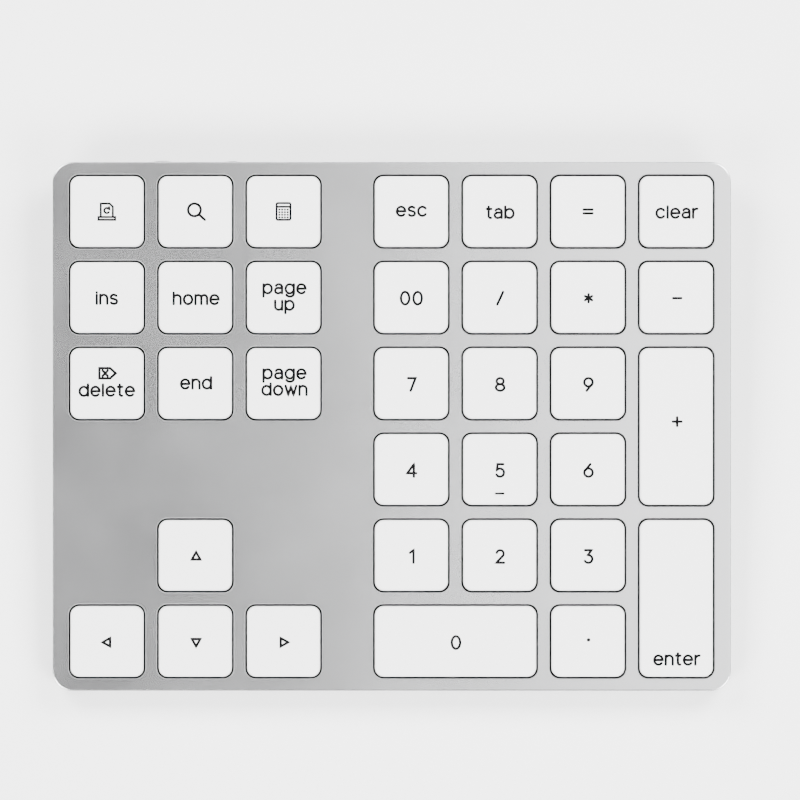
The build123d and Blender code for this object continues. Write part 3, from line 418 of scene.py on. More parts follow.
def cap_shell(centre, half, top, bottom, s):
    """A cap: rings that grow from the middle of its dished top to the rounded edge, run down
    the skirt, turn in under it and close across the ceiling of the hollow inside."""
    inner = half - s.edge - s.draft
    corner = s.corner - s.edge
    rings = []
    flat = rounded_outline(inner[0], inner[1], corner)
    for share in TOP_SHARES:
        height = dished(flat[:, 0] * share, flat[:, 1] * share, half, top, s.dish)
        rings.append(ring_at(flat * share, height))
    for turn in np.radians(EDGE_DEGREES):
        out = s.edge * math.sin(turn)
        ring = rounded_outline(inner[0] + out, inner[1] + out, corner + out)
        height = dished(ring[:, 0], ring[:, 1], half, top, s.dish) - s.edge * (1 - math.cos(turn))
        rings.append(ring_at(ring, height))
    outside = rounded_outline(half[0], half[1], s.corner)
    under = rounded_outline(half[0] - SKIRT_RIM, half[1] - SKIRT_RIM, s.corner - SKIRT_RIM)
    inside = rounded_outline(half[0] - s.wall, half[1] - s.wall, s.corner - s.wall)
    ceiling = top - s.ceiling
    rings.append(ring_at(outside, bottom + SKIRT_RIM))
    rings.append(ring_at(under, bottom))
    rings.append(ring_at(inside, bottom))
    rings.append(ring_at(inside, ceiling))
    rings.append(ring_at(inside * 0.5, ceiling))
    rings = np.array(rings) + np.array([centre[0], centre[1], 0.0])
    middle = [centre[0], centre[1], top - s.dish]
    return rings_shell(rings[:, ::-1], start=middle, end=[centre[0], centre[1], ceiling])


def clip_shell(x, y, ceiling):
    """A snap clip under a cap: a block whose open round hole holds a bar. Its profile is the
    block's outline with an arc of the hole bitten out of the lower edge, carried along the bar."""
    low = ceiling - CLIP_DEPTH
    end = CLIP_LENGTH / 2
    hole = BAR_RADIUS + BAR_FIT
    mouth = math.asin(min(1.0, (UPPER_Z - low) / hole))
    turn = np.linspace(-mouth, np.pi + mouth, 15)
    profile = [(-end, low), (-end, ceiling), (end, ceiling), (end, low)]
    profile += list(zip(hole * np.cos(turn), UPPER_Z + hole * np.sin(turn)))
    profile = np.array(profile)[::-1]
    sides = [
        np.column_stack([np.full(len(profile), x + side), y + profile[:, 0], profile[:, 1]])
        for side in (-CLIP_WIDTH / 2, CLIP_WIDTH / 2)
    ]
    return prism_shell(sides[0], sides[1])


class KEYPAD_OT_keycaps(bpy.types.Operator):
    """Build every keycap with its dished top, hollow inside and clips"""

    bl_idname = "keypad.keycaps"
    bl_label = "Keycaps"

    def execute(self, context):
        s = settings("keycaps")
        light, dark = shade(s.cap_colour, 1.01), shade(s.cap_colour, 0.985)
        plastic = finish_of("Keycap plastic", light, dark, 0.5, scale=5200.0, depth=0.06)
        for node in KEY_JOINTS:
            centre, half, top, bottom = cap_frame(node)
            shells = [cap_shell(centre, half, top, bottom, s)]
            for y in (centre[1] + UPPER_REACH, centre[1] - INNER_REACH):
                for x in (centre[0] - CLIP_X, centre[0] + CLIP_X):
                    shells.append(clip_shell(x, y, top - s.ceiling))
            make_piece("cap_" + node[4:], shells, plastic, node, [node], smooth=50.0)
        return {"FINISHED"}


HOMING_OFFSET = 5.15 * MM
HOMING_HALF_LENGTH = 1.05 * MM
HOMING_HALF_WIDTH = 0.2 * MM
HOMING_ROUNDING = 0.12 * MM
HOMING_SINK = 0.3 * MM


class KEYPAD_OT_homing_bar(bpy.types.Operator):
    """Build the raised bar by which a finger finds the middle key"""

    bl_idname = "keypad.homing_bar"
    bl_label = "Homing bar"

    def execute(self, context):
        centre, _, top, _ = cap_frame("key_5")
        place = np.array([centre[0], centre[1] - HOMING_OFFSET])
        foot = top - HOMING_SINK
        crest = span("key_5", ORIGIN)[1][2]
        rings = [ring_at(self.outline(0.0) + place, foot)]
        for turn in np.radians([0, 30, 60, 85]):
            outline = self.outline(HOMING_HALF_WIDTH * (1 - math.cos(turn)))
            rings.append(ring_at(outline + place, crest - HOMING_ROUNDING * (1 - math.sin(turn))))
        shell = rings_shell(np.array(rings), start=[*place, foot], end=[*place, crest])
        # The bar is coloured with the black ink as painted shade: it stands in for the shaded line of a
        # white raised bar.
        make_piece("homing_bar", [shell], ink_and_bar_shade_finish(), "key_5", smooth=60.0)
        return {"FINISHED"}

    @staticmethod
    def outline(inset):
        """The bar's outline with round ends, smaller by the inset."""
        half_width = HOMING_HALF_WIDTH - inset
        return rounded_outline(HOMING_HALF_LENGTH - inset, half_width, half_width, side_steps=6)


def ink_and_bar_shade_finish():
    """Matt black printing ink for the legends, also laid over the whole homing bar as painted shade."""
    tone = settings("keycaps").ink_colour
    return finish_of(
        "Legend ink and bar shade", shade(tone, 1.1), shade(tone, 0.9), 0.55,
        scale=6000.0, depth=0.05, Specular_IOR_Level=0.05,
    )


# ---------------------------------------------------------------------------
# Legends. A glyph is its width and its strokes, each a line through points, in
# units of a tenth of a millimetre from the left end of the baseline.
# ---------------------------------------------------------------------------


def arc(cx, cy, rx, ry, start, stop, steps=14):
    """Points of an elliptical arc from start to stop degrees, anticlockwise from +x."""
    turn = np.radians(np.linspace(start, stop, steps))
    return np.column_stack([cx + rx * np.cos(turn), cy + ry * np.sin(turn)])


def line(*points):
    """Points of a run of straight lines."""
    return np.array(points, float)


def joined(*parts):
    """One stroke from several runs, end to start."""
    return np.concatenate(parts)


def ring(cx, cy, rx, ry):
    """A closed ellipse as one stroke."""
    return arc(cx, cy, rx, ry, 90, 450, 29)


GLYPHS = {
    "0": (18, [ring(9, 13.5, 9, 13.5)]),
    "1": (7.5, [line((0, 21.5), (7.5, 27), (7.5, 0))]),
    "2": (16.5, [joined(arc(8.2, 19.4, 7.6, 7.6, 165, -40), line((0, 0), (16.5, 0)))]),
    "3": (17, [joined(line((1.2, 27), (15, 27), (7.4, 16.6)), arc(8.2, 8.2, 8.6, 8.4, 95, -150))]),
    "4": (19, [line((14, 0), (14, 27), (0, 7.6), (19, 7.6))]),
    "5": (17, [joined(line((15.4, 27), (3, 27), (1.6, 14.6)), arc(8.2, 8.8, 8.6, 8.8, 140, -152))]),
    "6": (18, [joined(line((13, 27), (2.4, 13.8)), arc(9, 8.9, 9, 8.9, 148, 508, 29))]),
    "7": (16, [line((0, 27), (16, 27), (5.6, 0))]),
    "8": (18, [ring(9, 20.4, 7.4, 6.6), ring(9, 7, 9, 7)]),
    "9": (18, [joined(line((5, 0), (15.6, 13.2)), arc(9, 18.1, 9, 8.9, -32, 328, 29))]),
    "a": (15.6, [
        joined(arc(8, 13, 7, 6.4, 150, 0), line((15, 0))),
        joined(line((15, 11.4)), arc(6.6, 5.7, 6.6, 5.7, 90, 270), line((10, 0.6), (15, 4))),
    ]),
    "b": (18, [line((0, 24.5), (0, 0)), ring(8.9, 9.7, 8.9, 9.7)]),
    "c": (16.4, [arc(8.9, 9.7, 8.9, 9.7, 40, 320, 22)]),
    "d": (18, [line((17.8, 24.5), (17.8, 0)), ring(8.9, 9.7, 8.9, 9.7)]),
    "e": (17.6, [joined(line((0.4, 9.9), (17.4, 9.9)), arc(8.9, 9.7, 8.9, 9.7, 2, 318, 26))]),
    "g": (18, [
        ring(8.9, 9.7, 8.9, 9.7),
        joined(line((17.8, 19.4), (17.8, 0)), arc(9.2, 0, 8.6, 7, 0, -150)),
    ]),
    "h": (15, [
        line((0, 24.5), (0, 0)),
        joined(line((0, 10)), arc(7.5, 11.9, 7.5, 7.5, 180, 0), line((15, 0))),
    ]),
    "i": (1, [line((0.5, 19.4), (0.5, 0)), line((0.5, 24.2), (0.5, 24.6))]),
    "l": (1, [line((0.5, 24.5), (0.5, 0))]),
    "m": (25, [
        line((0, 19.4), (0, 0)),
        joined(line((0, 10)), arc(6.25, 13.15, 6.25, 6.25, 180, 0), line((12.5, 0))),
        joined(line((12.5, 10)), arc(18.75, 13.15, 6.25, 6.25, 180, 0), line((25, 0))),
    ]),
    "n": (15, [
        line((0, 19.4), (0, 0)),
        joined(line((0, 10)), arc(7.5, 11.9, 7.5, 7.5, 180, 0), line((15, 0))),
    ]),
    "o": (17.8, [ring(8.9, 9.7, 8.9, 9.7)]),
    "p": (18, [line((0, 19.4), (0, -7)), ring(8.9, 9.7, 8.9, 9.7)]),
    "r": (9, [line((0, 19.4), (0, 0)), joined(line((0, 9)), arc(8.2, 11.2, 8.2, 8.2, 180, 84))]),
    "s": (14.2, [joined(arc(7.2, 14.5, 6.3, 4.9, 32, 215), arc(7.2, 5, 6.8, 5, 60, -150))]),
    "t": (10, [
        joined(line((4, 24), (4, 4.6)), arc(8, 4.4, 4, 4.4, 180, 285)),
        line((0, 19.2), (9.6, 19.2)),
    ]),
    "u": (15, [
        line((15, 19.4), (15, 0)),
        joined(line((0, 19.4)), arc(7.5, 7.5, 7.5, 7.5, 180, 360), line((15, 9))),
    ]),
    "w": (23, [line((0, 19.4), (5.9, 0), (11.5, 18), (17.1, 0), (23, 19.4))]),
    "=": (19, [line((0, 17.6), (19, 17.6)), line((0, 9.4), (19, 9.4))]),
    "/": (12.5, [line((0, 0), (12.5, 27))]),
    "*": (17, [line((8.5, 5), (8.5, 22)), line((1, 9.2), (16, 17.8)), line((1, 17.8), (16, 9.2))]),
    "-": (17.5, [line((0, 13.5), (17.5, 13.5))]),
    "+": (18.5, [line((0, 13.5), (18.5, 13.5)), line((9.25, 4.2), (9.25, 22.8))]),
    ".": (1, [ring(0.5, 12.2, 1.1, 1.1), line((0.4, 12.2), (0.6, 12.2))]),
}
LETTER_GAP = 7.0
DIGIT_GAP = 9.0
LINE_PITCH = 35.5


def word(text):
    """Strokes of a word set about its own middle, baseline at y = 0."""
    gap = DIGIT_GAP if text.isdigit() else LETTER_GAP
    strokes, pen = [], 0.0
    for letter in text:
        width, parts = GLYPHS[letter]
        strokes += [part + [pen, 0.0] for part in parts]
        pen += width + gap
    return [stroke - [(pen - gap) / 2, 0.0] for stroke in strokes]


def moved(strokes, x=0.0, y=0.0):
    """The strokes shifted by x and y."""
    return [stroke + [x, y] for stroke in strokes]


def arrow(direction):
    """A small open triangle that points along direction degrees."""
    turn = math.radians(direction)
    points = np.array([(9, 0), (-7, 9), (-7, -9), (9, 0)], float)
    return [points @ np.array([[math.cos(turn), math.sin(turn)], [-math.sin(turn), math.cos(turn)]])]


def document_icon():
    """A sheet with a cut corner over a tray, with a round arrow on it."""
    sheet = line((-13, -11), (-13, 17), (6, 17), (13, 10), (13, -11))
    tray = line((-18, -12), (18, -12), (18, -18), (-18, -18), (-18, -12))
    return [sheet, tray, arc(0, 2, 5.5, 5.5, 40, 320, 16), line((1.5, 6.5), (5.5, 5), (5, 9.5))]


def search_icon():
    """A magnifying glass."""
    return [ring(-3.4, 3.4, 13.6, 13.6), line((6.4, -6.4), (19, -18))]


def calculator_icon():
    """A calculator: its outline, a display line and rows of keys."""
    outline = joined(
        arc(12, 15, 3, 3, 0, 90, 5), arc(-12, 15, 3, 3, 90, 180, 5), arc(-12, -15, 3, 3, 180, 270, 5),
        arc(12, -15, 3, 3, 270, 360, 5), line((15, 15)),
    )
    dots = [line((x - 0.3, y), (x + 0.3, y)) for y in (4, -1.6, -7.2, -12.8) for x in (-9, -3, 3, 9)]
    return [outline, line((-14, 10), (14, 10))] + dots


def erase_icon():
    """A tag that points right with a cross in it, for forward delete."""
    tag = line((-18, 11), (5, 11), (17, 0), (5, -11), (-18, -11), (-18, 11))
    return [tag, line((-11, 6), (0, -6)), line((-11, -6), (0, 6))]


def lines_of(*texts):
    """Words one above the other, the last one on the baseline."""
    strokes = []
    for index, text in enumerate(reversed(texts)):
        strokes += moved(word(text), y=index * LINE_PITCH)
    return strokes


# What stands on each key: its strokes, in the same units from the cap's centre
LEGENDS = {
    "key_document": document_icon(),
    "key_search": moved(search_icon(), x=1.8),
    "key_calculator": calculator_icon(),
    "key_escape": moved(word("esc"), y=-9.4),
    "key_tab": moved(word("tab"), x=1, y=-14.0),
    "key_equals": moved(word("="), y=-13.5),
    "key_clear": moved(word("clear"), x=1, y=-13.6),
    "key_insert": moved(word("ins"), y=-13.6),
    "key_home": moved(word("home"), x=2, y=-14.2),
    "key_page_up": moved(lines_of("page", "up"), x=2, y=-26.5),
    "key_double_zero": moved(word("00"), y=-15.0),
    "key_divide": moved(word("/"), x=1, y=-15.0),
    "key_multiply": moved(word("*"), x=1, y=-15.0),
    "key_minus": moved(word("-"), x=1.5, y=-15.0),
    "key_delete": moved(word("delete"), y=-26.5) + moved(erase_icon(), x=2, y=22.0),
    "key_end": moved(word("end"), x=2, y=-10.8),
    "key_page_down": moved(lines_of("page", "down"), x=2, y=-24.6),
    "key_plus": moved(word("+"), x=1.5, y=-3.0),
    "key_enter": moved(word("enter"), x=1, y=-142.0),
    "key_up": moved(arrow(90), x=2, y=-1.5),
    "key_left": moved(arrow(180), y=-1.5),
    "key_down": moved(arrow(270), x=2, y=-1.5),
    "key_right": moved(arrow(0), x=1, y=-1.5),
    "key_point": moved(word("."), x=1, y=-8.6),
}
for digit in "0123456789":
    LEGENDS["key_" + digit] = moved(word(digit), x=0.8, y=-15.5)

PICTURES = ("key_document", "key_calculator")
UNIT = 0.1 * MM
INK_SINK = 0.08 * MM
TIP_WIDTH = 0.08  # of a stroke's width, at its rounded ends
MITRE_LIMIT = 0.55  # cosine past which a bend isn't mitred any further


def resampled(stroke, step=2.2):
    """A stroke with points no more than step apart, so that it follows the dish."""
    pieces = [stroke[:1]]
    for a, b in zip(stroke[:-1], stroke[1:]):
        count = max(1, int(np.ceil(np.linalg.norm(b - a) / step)))
        pieces.append(a + (b - a) * np.linspace(0, 1, count + 1)[1:, None])
    return np.concatenate(pieces)


def stroke_shell(stroke, thickness, centre, half, top, s):
    """A printed line: at each point of the stroke its two edges stand half a width to each
    side, mitred at bends, the ends are rounded by narrowing over the last half width, and the
    upper face lies just above the dished top while the lower one is sunk in the cap."""
    reach = thickness / 2 / UNIT
    path = resampled(np.asarray(stroke, float))
    closed = np.linalg.norm(path[0] - path[-1]) < 1e-6 and len(path) > 4
    if closed:
        path = path[:-1]
        before, after = np.roll(path, 1, axis=0), np.roll(path, -1, axis=0)
        width = np.full(len(path), reach)
    else:
        heading = path[1] - path[0]
        leaving = path[-1] - path[-2]
        heading /= np.linalg.norm(heading)
        leaving /= np.linalg.norm(leaving)
        turn = np.radians([90, 60, 30])
        lead = path[0] - heading * (reach * np.sin(turn))[:, None]
        trail = path[-1] + leaving * (reach * np.sin(turn[::-1]))[:, None]
        ends = reach * np.cos(turn)
        width = np.maximum(np.concatenate([ends, np.full(len(path), reach), ends[::-1]]), reach * TIP_WIDTH)
        path = np.concatenate([lead, path, trail])
        before = np.concatenate([path[:1], path[:-1]])
        after = np.concatenate([path[1:], path[-1:]])
    into, out = path - before, after - path
    into[np.linalg.norm(into, axis=1) < 1e-9] = out[np.linalg.norm(into, axis=1) < 1e-9]
    out[np.linalg.norm(out, axis=1) < 1e-9] = into[np.linalg.norm(out, axis=1) < 1e-9]
    into /= np.linalg.norm(into, axis=1)[:, None]
    out /= np.linalg.norm(out, axis=1)[:, None]
    mean = into + out
    mean /= np.maximum(np.linalg.norm(mean, axis=1)[:, None], 1e-9)
    side = np.column_stack([-mean[:, 1], mean[:, 0]])
    mitre = 1 / np.maximum(np.abs(np.sum(mean * into, axis=1)), MITRE_LIMIT)
    left = (path + side * (width * mitre)[:, None]) * UNIT
    right = (path - side * (width * mitre)[:, None]) * UNIT

    def lifted(flat, offset):
        """Takes flat points to the cap's dished top, and up by the offset."""
        z = dished(flat[:, 0], flat[:, 1], half, top, s.dish) + offset
        return np.column_stack([flat + centre, z])

    upper = [lifted(left, s.ink_height), lifted(right, s.ink_height)]
    lower = [lifted(right, -INK_SINK), lifted(left, -INK_SINK)]
    rings = np.stack(upper + lower, axis=1)
    if closed:
        return rings_shell(rings)
    return rings_shell(rings, start=rings[0].mean(axis=0), end=rings[-1].mean(axis=0))


class KEYPAD_OT_legends(bpy.types.Operator):
    """Print the legend of every key on its cap"""

    bl_idname = "keypad.legends"
    bl_label = "Legends"

    def execute(self, context):
        s = settings("keycaps")
        ink = ink_and_bar_shade_finish()
        for node, strokes in LEGENDS.items():
            centre, half, top, _ = cap_frame(node)
            thickness = s.fine_stroke if node in PICTURES else s.stroke
            shells = [stroke_shell(stroke, thickness, centre, half, top, s) for stroke in strokes]
            make_piece("legend_" + node[4:], shells, ink, node, smooth=30.0)
        return {"FINISHED"}


# ---------------------------------------------------------------------------
# Domes, levers and feet
# ---------------------------------------------------------------------------


def lathe(profile, centre, sides=24):
    """A profile of (radius, height) turned about the deck's normal at centre."""
    turn = np.linspace(0, 2 * np.pi, sides, endpoint=False)
    profile = np.asarray(profile, float)
    x = centre[0] + profile[:, :1] * np.cos(turn)
    y = centre[1] + profile[:, :1] * np.sin(turn)
    z = np.broadcast_to(profile[:, 1:], x.shape)
    return np.stack([x, y, z], axis=-1)


DOME_TOP = 0.85 * MM
NUB_BOTTOM = 1.75  # height of the nub's tip above the films, in millimetres


class KEYPAD_OT_domes(bpy.types.Operator):
    """Build the rubber dome under every key"""

    bl_idname = "keypad.domes"
    bl_label = "Domes"

    def execute(self, context):
        light, dark = (0.80, 0.80, 0.77), (0.72, 0.72, 0.69)
        rubber = finish_of("Dome silicone", light, dark, 0.42, scale=1800.0, depth=0.1)
        height = DOME_TOP - FILM_TOP
        profile = np.array(self.profile(height / MM)) * MM + [0.0, FILM_TOP]
        for node, joint in KEY_JOINTS.items():
            centre = cap_frame(node)[0]
            start = [centre[0], centre[1], FILM_TOP + NUB_BOTTOM * MM]
            end = [centre[0], centre[1], FILM_TOP + height]
            shell = rings_shell(lathe(profile, centre), start=start, end=end)
            piece = make_piece("dome_" + node[4:], [shell], rubber, "case", ["rubber_domes"])
            flatten(piece)
        return {"FINISHED"}

    @staticmethod
    def profile(height):
        """The dome's profile of (radius, height) in millimetres, from the nub inside, down the
        inner wall, and from the rim up the sloping skirt to the crown: the skirt's radius falls
        evenly, less a sine that makes it hollow, and the crown's shoulder is a quarter circle."""
        inside = [(0.8, NUB_BOTTOM), (0.8, height - 1.05), (1.22, height - 1.05), (2.3, 0.0)]
        outside = [(3.05, 0.0), (3.1, 0.06), (3.1, 0.2), (3.04, 0.25), (2.72, 0.27)]
        for share in (0.2, 0.45, 0.7, 0.9):
            radius = 2.66 - 1.0 * share - 0.08 * math.sin(share * math.pi)
            outside.append((radius, 0.3 + (height - 0.95) * share))
        for turn in np.radians(np.linspace(0, 90, 5)):
            outside.append((1.2 + 0.38 * math.cos(turn), height - 0.72 + 0.16 * math.sin(turn)))
        outside += [(1.16, height - 0.5), (1.14, height - 0.06), (1.08, height)]
        return inside + outside


def flatten(piece):
    """Gives a piece under a key its own copy of its mesh."""
    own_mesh(piece)


ARM_CORNER = 0.18 * MM
PIN_RADIUS = 0.36 * MM
BOSS_SWELL = 0.9  # how much thicker an arm is at its pivot, as a share
BOSS_REACH = 0.75 * MM


def arm_shell(x, y_high, z_high, y_low, z_low):
    """A lever's side arm: a rounded rectangle carried from the lower bar to the upper one. It is
    thicker round the pivot in its middle, by a bell curve of the distance from there."""
    share = np.linspace(0, 1, 13)
    run = np.array([0.0, y_high - y_low, z_high - z_low])
    length = np.linalg.norm(run)
    run /= length
    up = np.cross([1.0, 0.0, 0.0], run)
    up *= np.sign(up[2])
    swell = 1 + BOSS_SWELL * np.exp(-(((share - 0.5) * length / BOSS_REACH) ** 2))
    outline = rounded_outline(ARM_WIDTH / 2, BAR_RADIUS * 0.92, ARM_CORNER, steps=2, side_steps=0)
    middle = np.array([x, y_low, z_low]) + share[:, None] * length * run
    rings = (
        middle[:, None]
        + outline[None, :, :1] * np.array([1.0, 0.0, 0.0])
        + (outline[None, :, 1:] * swell[:, None, None]) * up
    )
    if run[1] > 0:
        rings = rings[:, ::-1]
    return rings_shell(rings, start=middle[0], end=middle[-1])


class KEYPAD_OT_levers(bpy.types.Operator):
    """Build the crossed scissor levers under every key"""

    bl_idname = "keypad.levers"
    bl_label = "Scissor levers"

    def execute(self, context):
        light, dark = (0.82, 0.82, 0.79), (0.76, 0.76, 0.73)
        acetal = finish_of("Lever acetal", light, dark, 0.38, scale=2500.0, depth=0.05)
        pivot = (UPPER_Z + LOWER_Z) / 2
        bars = (
            (OUTER_ARM, UPPER_REACH, UPPER_Z),
            (OUTER_ARM, -UPPER_REACH, LOWER_Z),
            (INNER_ARM, -INNER_REACH, UPPER_Z),
            (INNER_ARM, INNER_REACH, LOWER_Z),
        )
        for node, joint in KEY_JOINTS.items():
            x, y = cap_frame(node)[0]
            shells = []
            for side in (-1, 1):
                outer, inner = x + side * OUTER_ARM, x + side * INNER_ARM
                shells.append(arm_shell(outer, y + UPPER_REACH, UPPER_Z, y - UPPER_REACH, LOWER_Z))
                shells.append(arm_shell(inner, y - INNER_REACH, UPPER_Z, y + INNER_REACH, LOWER_Z))
                pin = np.linspace(inner, x + side * (OUTER_ARM + ARM_WIDTH * 0.62), 4)
                shells.append(self.rod(pin, y, pivot, PIN_RADIUS))
            for reach, offset, z in bars:
                along = np.linspace(-reach - ARM_WIDTH / 2, reach + ARM_WIDTH / 2, 7)
                shells.append(self.rod(x + along, y + offset, z, BAR_RADIUS))
            piece = make_piece(
                "levers_" + node[4:], shells, acetal, "case",
                ["scissor_outer_levers", "scissor_inner_levers"],
            )
            flatten(piece)
        return {"FINISHED"}

    @staticmethod
    def rod(along, y, z, radius):
        """A straight round rod across the key, through the given places along it."""
        path = np.column_stack([along, np.full(len(along), y), np.full(len(along), z)])
        return tube_shell(path, radius)


def quarters(node):
    """The separate solids of a node as point sets in the row's frame, told apart by which
    quarter of the case they lie in."""
    points = corners_of(node) @ DECK.T - ORIGIN
    right, rear = points[:, 0] > 0, points[:, 1] > 0
    return [to_row(points[(right == x) & (rear == y)]) for x in (False, True) for y in (False, True)]


FOOT_HALF_WIDTH = 3.0 * MM
FOOT_HEIGHT = 1.4 * MM


class KEYPAD_OT_feet(bpy.types.Operator):
    """Build the four rubber feet with rounded rims"""

    bl_idname = "keypad.feet"
    bl_label = "Feet"

    def execute(self, context):
        s = settings("case")
        light, dark = shade(s.foot_colour, 1.15), shade(s.foot_colour, 0.85)
        rubber = finish_of("Foot rubber", light, dark, 0.72, scale=1500.0, depth=0.35)
        shells = [self.foot(points, s.foot_edge) for points in quarters("rubber_feet")]
        make_piece("feet_pads", shells, rubber, "case", ["rubber_feet"])
        return {"FINISHED"}

    @staticmethod
    def foot(points, edge):
        """A foot: outlines with round ends that grow round a quarter-circle rim at the bottom
        and end at the cover, which is level at the rear and slopes with the deck at the front."""
        low, high = points.min(axis=0), points.max(axis=0)
        centre = (low + high) / 2
        half_length = (high[0] - low[0]) / 2

        def outline(inset):
            """The foot's outline with round ends, smaller by the inset."""
            half_width = FOOT_HALF_WIDTH - inset
            return rounded_outline(half_length - inset, half_width, half_width, steps=9, side_steps=4)

        rings = []
        for turn in np.radians([0, 30, 60, 90]):
            ring_points = outline(edge * (1 - math.sin(turn))) + centre[:2]
            rings.append(ring_at(ring_points, low[2] + edge * (1 - math.cos(turn))))
        widest = outline(0.0)
        slope = 0.0 if centre[1] > 0 else math.tan(math.acos(NORMAL[2]))
        rings.append(ring_at(widest + centre[:2], low[2] + FOOT_HEIGHT + (widest[:, 1] * slope)))
        rings = np.array(rings) @ DECK.T - ORIGIN
        return rings_shell(rings, start=rings[0].mean(axis=0), end=rings[-1].mean(axis=0))


# ---------------------------------------------------------------------------
# Rear controls
# ---------------------------------------------------------------------------


KNOB_HALF_WIDTH = 1.65 * MM
KNOB_HALF_HEIGHT = 0.75 * MM
KNOB_LENGTH = 2.95 * MM
KNOB_ROUNDING = 0.16 * MM
GROOVE_DEPTH = 0.14 * MM
GROOVED_SHARE = 0.9  # of the knob's width
# Where a section of the knob stands in its height, and how far it is drawn in, in millimetres
KNOB_SECTIONS = ((-1.0, 0.10), (-0.93, 0.03), (-0.8, 0.0), (0.8, 0.0), (0.93, 0.03), (1.0, 0.10))
CARRIAGE_FRONT, CARRIAGE_BACK = 0.35 * MM, 0.15 * MM
STEM_HALF_WIDTH = 0.6 * MM
CONTACT_PITCH = 0.5 * MM
CONTACT_HALF = (0.13 * MM, 0.02 * MM)
CONTACT_REACH = (4.1 * MM, 0.5 * MM)  # from the tongue's tip to a contact's two ends
TONGUE_HALF_HEIGHT = 0.35 * MM


class KEYPAD_OT_controls(bpy.types.Operator):
    """Build the ribbed power knob, the domed pairing button and the socket's contacts"""

    bl_idname = "keypad.controls"
    bl_label = "Rear controls"

    def execute(self, context):
        light, dark = (0.055, 0.055, 0.058), (0.045, 0.045, 0.048)
        satin = finish_of("Control plastic", light, dark, 0.42, scale=4000.0, depth=0.06)
        self.knob(satin)
        self.button(satin)
        self.contacts()
        return {"FINISHED"}

    def knob(self, material):
        """The knob is a rounded bar. Its outer face is a high power of the place across it, less
        cosine grooves, and its carriage and stem are plates behind the wall."""
        low, high = span("power_switch_slider", ORIGIN)
        centre_x, centre_z = (low[0] + high[0]) / 2, (low[2] + high[2]) / 2
        end_y, back_y = high[1], high[1] - KNOB_LENGTH
        across = np.linspace(-1, 1, 49)
        groove = GROOVE_DEPTH * (0.5 - 0.5 * np.cos(across * np.pi * 4))
        rounding = KNOB_ROUNDING * np.abs(across) ** 14
        front = end_y - rounding - groove * (np.abs(across) < GROOVED_SHARE)
        profile_x = np.concatenate([across * KNOB_HALF_WIDTH, [KNOB_HALF_WIDTH, -KNOB_HALF_WIDTH]])
        profile_y = np.concatenate([front, [back_y, back_y]])
        rings = []
        for z_share, shrink in KNOB_SECTIONS:
            x = centre_x + profile_x * (1 - shrink * MM / KNOB_HALF_WIDTH)
            y = np.minimum(profile_y, end_y - shrink * MM * 1.6)
            rings.append(np.column_stack([x, y, np.full(len(x), centre_z + z_share * KNOB_HALF_HEIGHT)]))
        rings = np.array(rings)
        shells = [rings_shell(rings[:, ::-1], start=rings[0].mean(axis=0), end=rings[-1].mean(axis=0))]
        plate = rounded_outline(high[0] - centre_x, high[2] - centre_z, 0.15 * MM, side_steps=1)
        stem = rounded_outline(STEM_HALF_WIDTH, STEM_HALF_WIDTH, 0.1 * MM, side_steps=1)
        plate_ends = back_y - CARRIAGE_FRONT, back_y + CARRIAGE_BACK
        shells.append(self.upright(plate, centre_x, centre_z, *plate_ends))
        shells.append(self.upright(stem, centre_x, centre_z, low[1], back_y))
        make_piece(
            "power_knob", shells, material, "power_switch_slider", ["power_switch_slider"]
        )

    @staticmethod
    def upright(outline, x, z, front, rear):
        """A flat plate that stands across the case from front to rear."""
        near, far = (
            np.column_stack([x + outline[:, 0], np.full(len(outline), y), z + outline[:, 1]])
            for y in (front, rear)
        )
        return prism_shell(far, near)

    def button(self, material):
        """The button is a profile of (radius, depth) turned about the rearward axis."""
        low, high = span("pairing_button", ORIGIN)
        x, z = (low[0] + high[0]) / 2, (low[2] + high[2]) / 2
        length = (high[1] - low[1]) / MM
        flange = [(1.7, 0.0), (1.7, 0.5), (1.1, 0.5)]
        crown = [(1.1, length - 0.22), (1.04, length - 0.1), (0.9, length - 0.03), (0.5, length)]
        profile = np.array(flange + crown) * MM
        turn = np.linspace(0, 2 * np.pi, 28, endpoint=False)
        ring_x = x + profile[:, :1] * np.cos(turn)
        ring_y = np.broadcast_to(low[1] + profile[:, 1:], ring_x.shape)
        ring_z = z + profile[:, :1] * np.sin(turn)
        rings = np.stack([ring_x, ring_y, ring_z], axis=-1)
        shell = rings_shell(rings[:, ::-1], start=[x, low[1], z], end=[x, high[1], z])
        make_piece(
            "pairing_button_cap", [shell], material, "pairing_button",
            ["pairing_button"], smooth=50.0,
        )

    def contacts(self):
        """Twelve gilt contacts on each face of the socket's tongue."""
        light, dark = (0.86, 0.62, 0.24), (0.80, 0.56, 0.20)
        gilt = finish_of("Gilt contact", light, dark, 0.28, metallic=1.0, scale=5000.0, depth=0.03)
        low, high = span("usb_socket_tongue", ORIGIN)
        x, z = (low[0] + high[0]) / 2, (low[2] + high[2]) / 2
        outline = rounded_outline(*CONTACT_HALF, 0.005 * MM, steps=2, side_steps=0)
        ends = high[1] - CONTACT_REACH[0], high[1] - CONTACT_REACH[1]
        shells = []
        for face in (-1, 1):
            for index in range(12):
                middle = x + (index - 5.5) * CONTACT_PITCH
                shells.append(self.upright(outline, middle, z + face * TONGUE_HALF_HEIGHT, *ends))
        make_piece("usb_contacts", shells, gilt, "case")


# ---------------------------------------------------------------------------
# Finishes of the CAD pieces
# ---------------------------------------------------------------------------


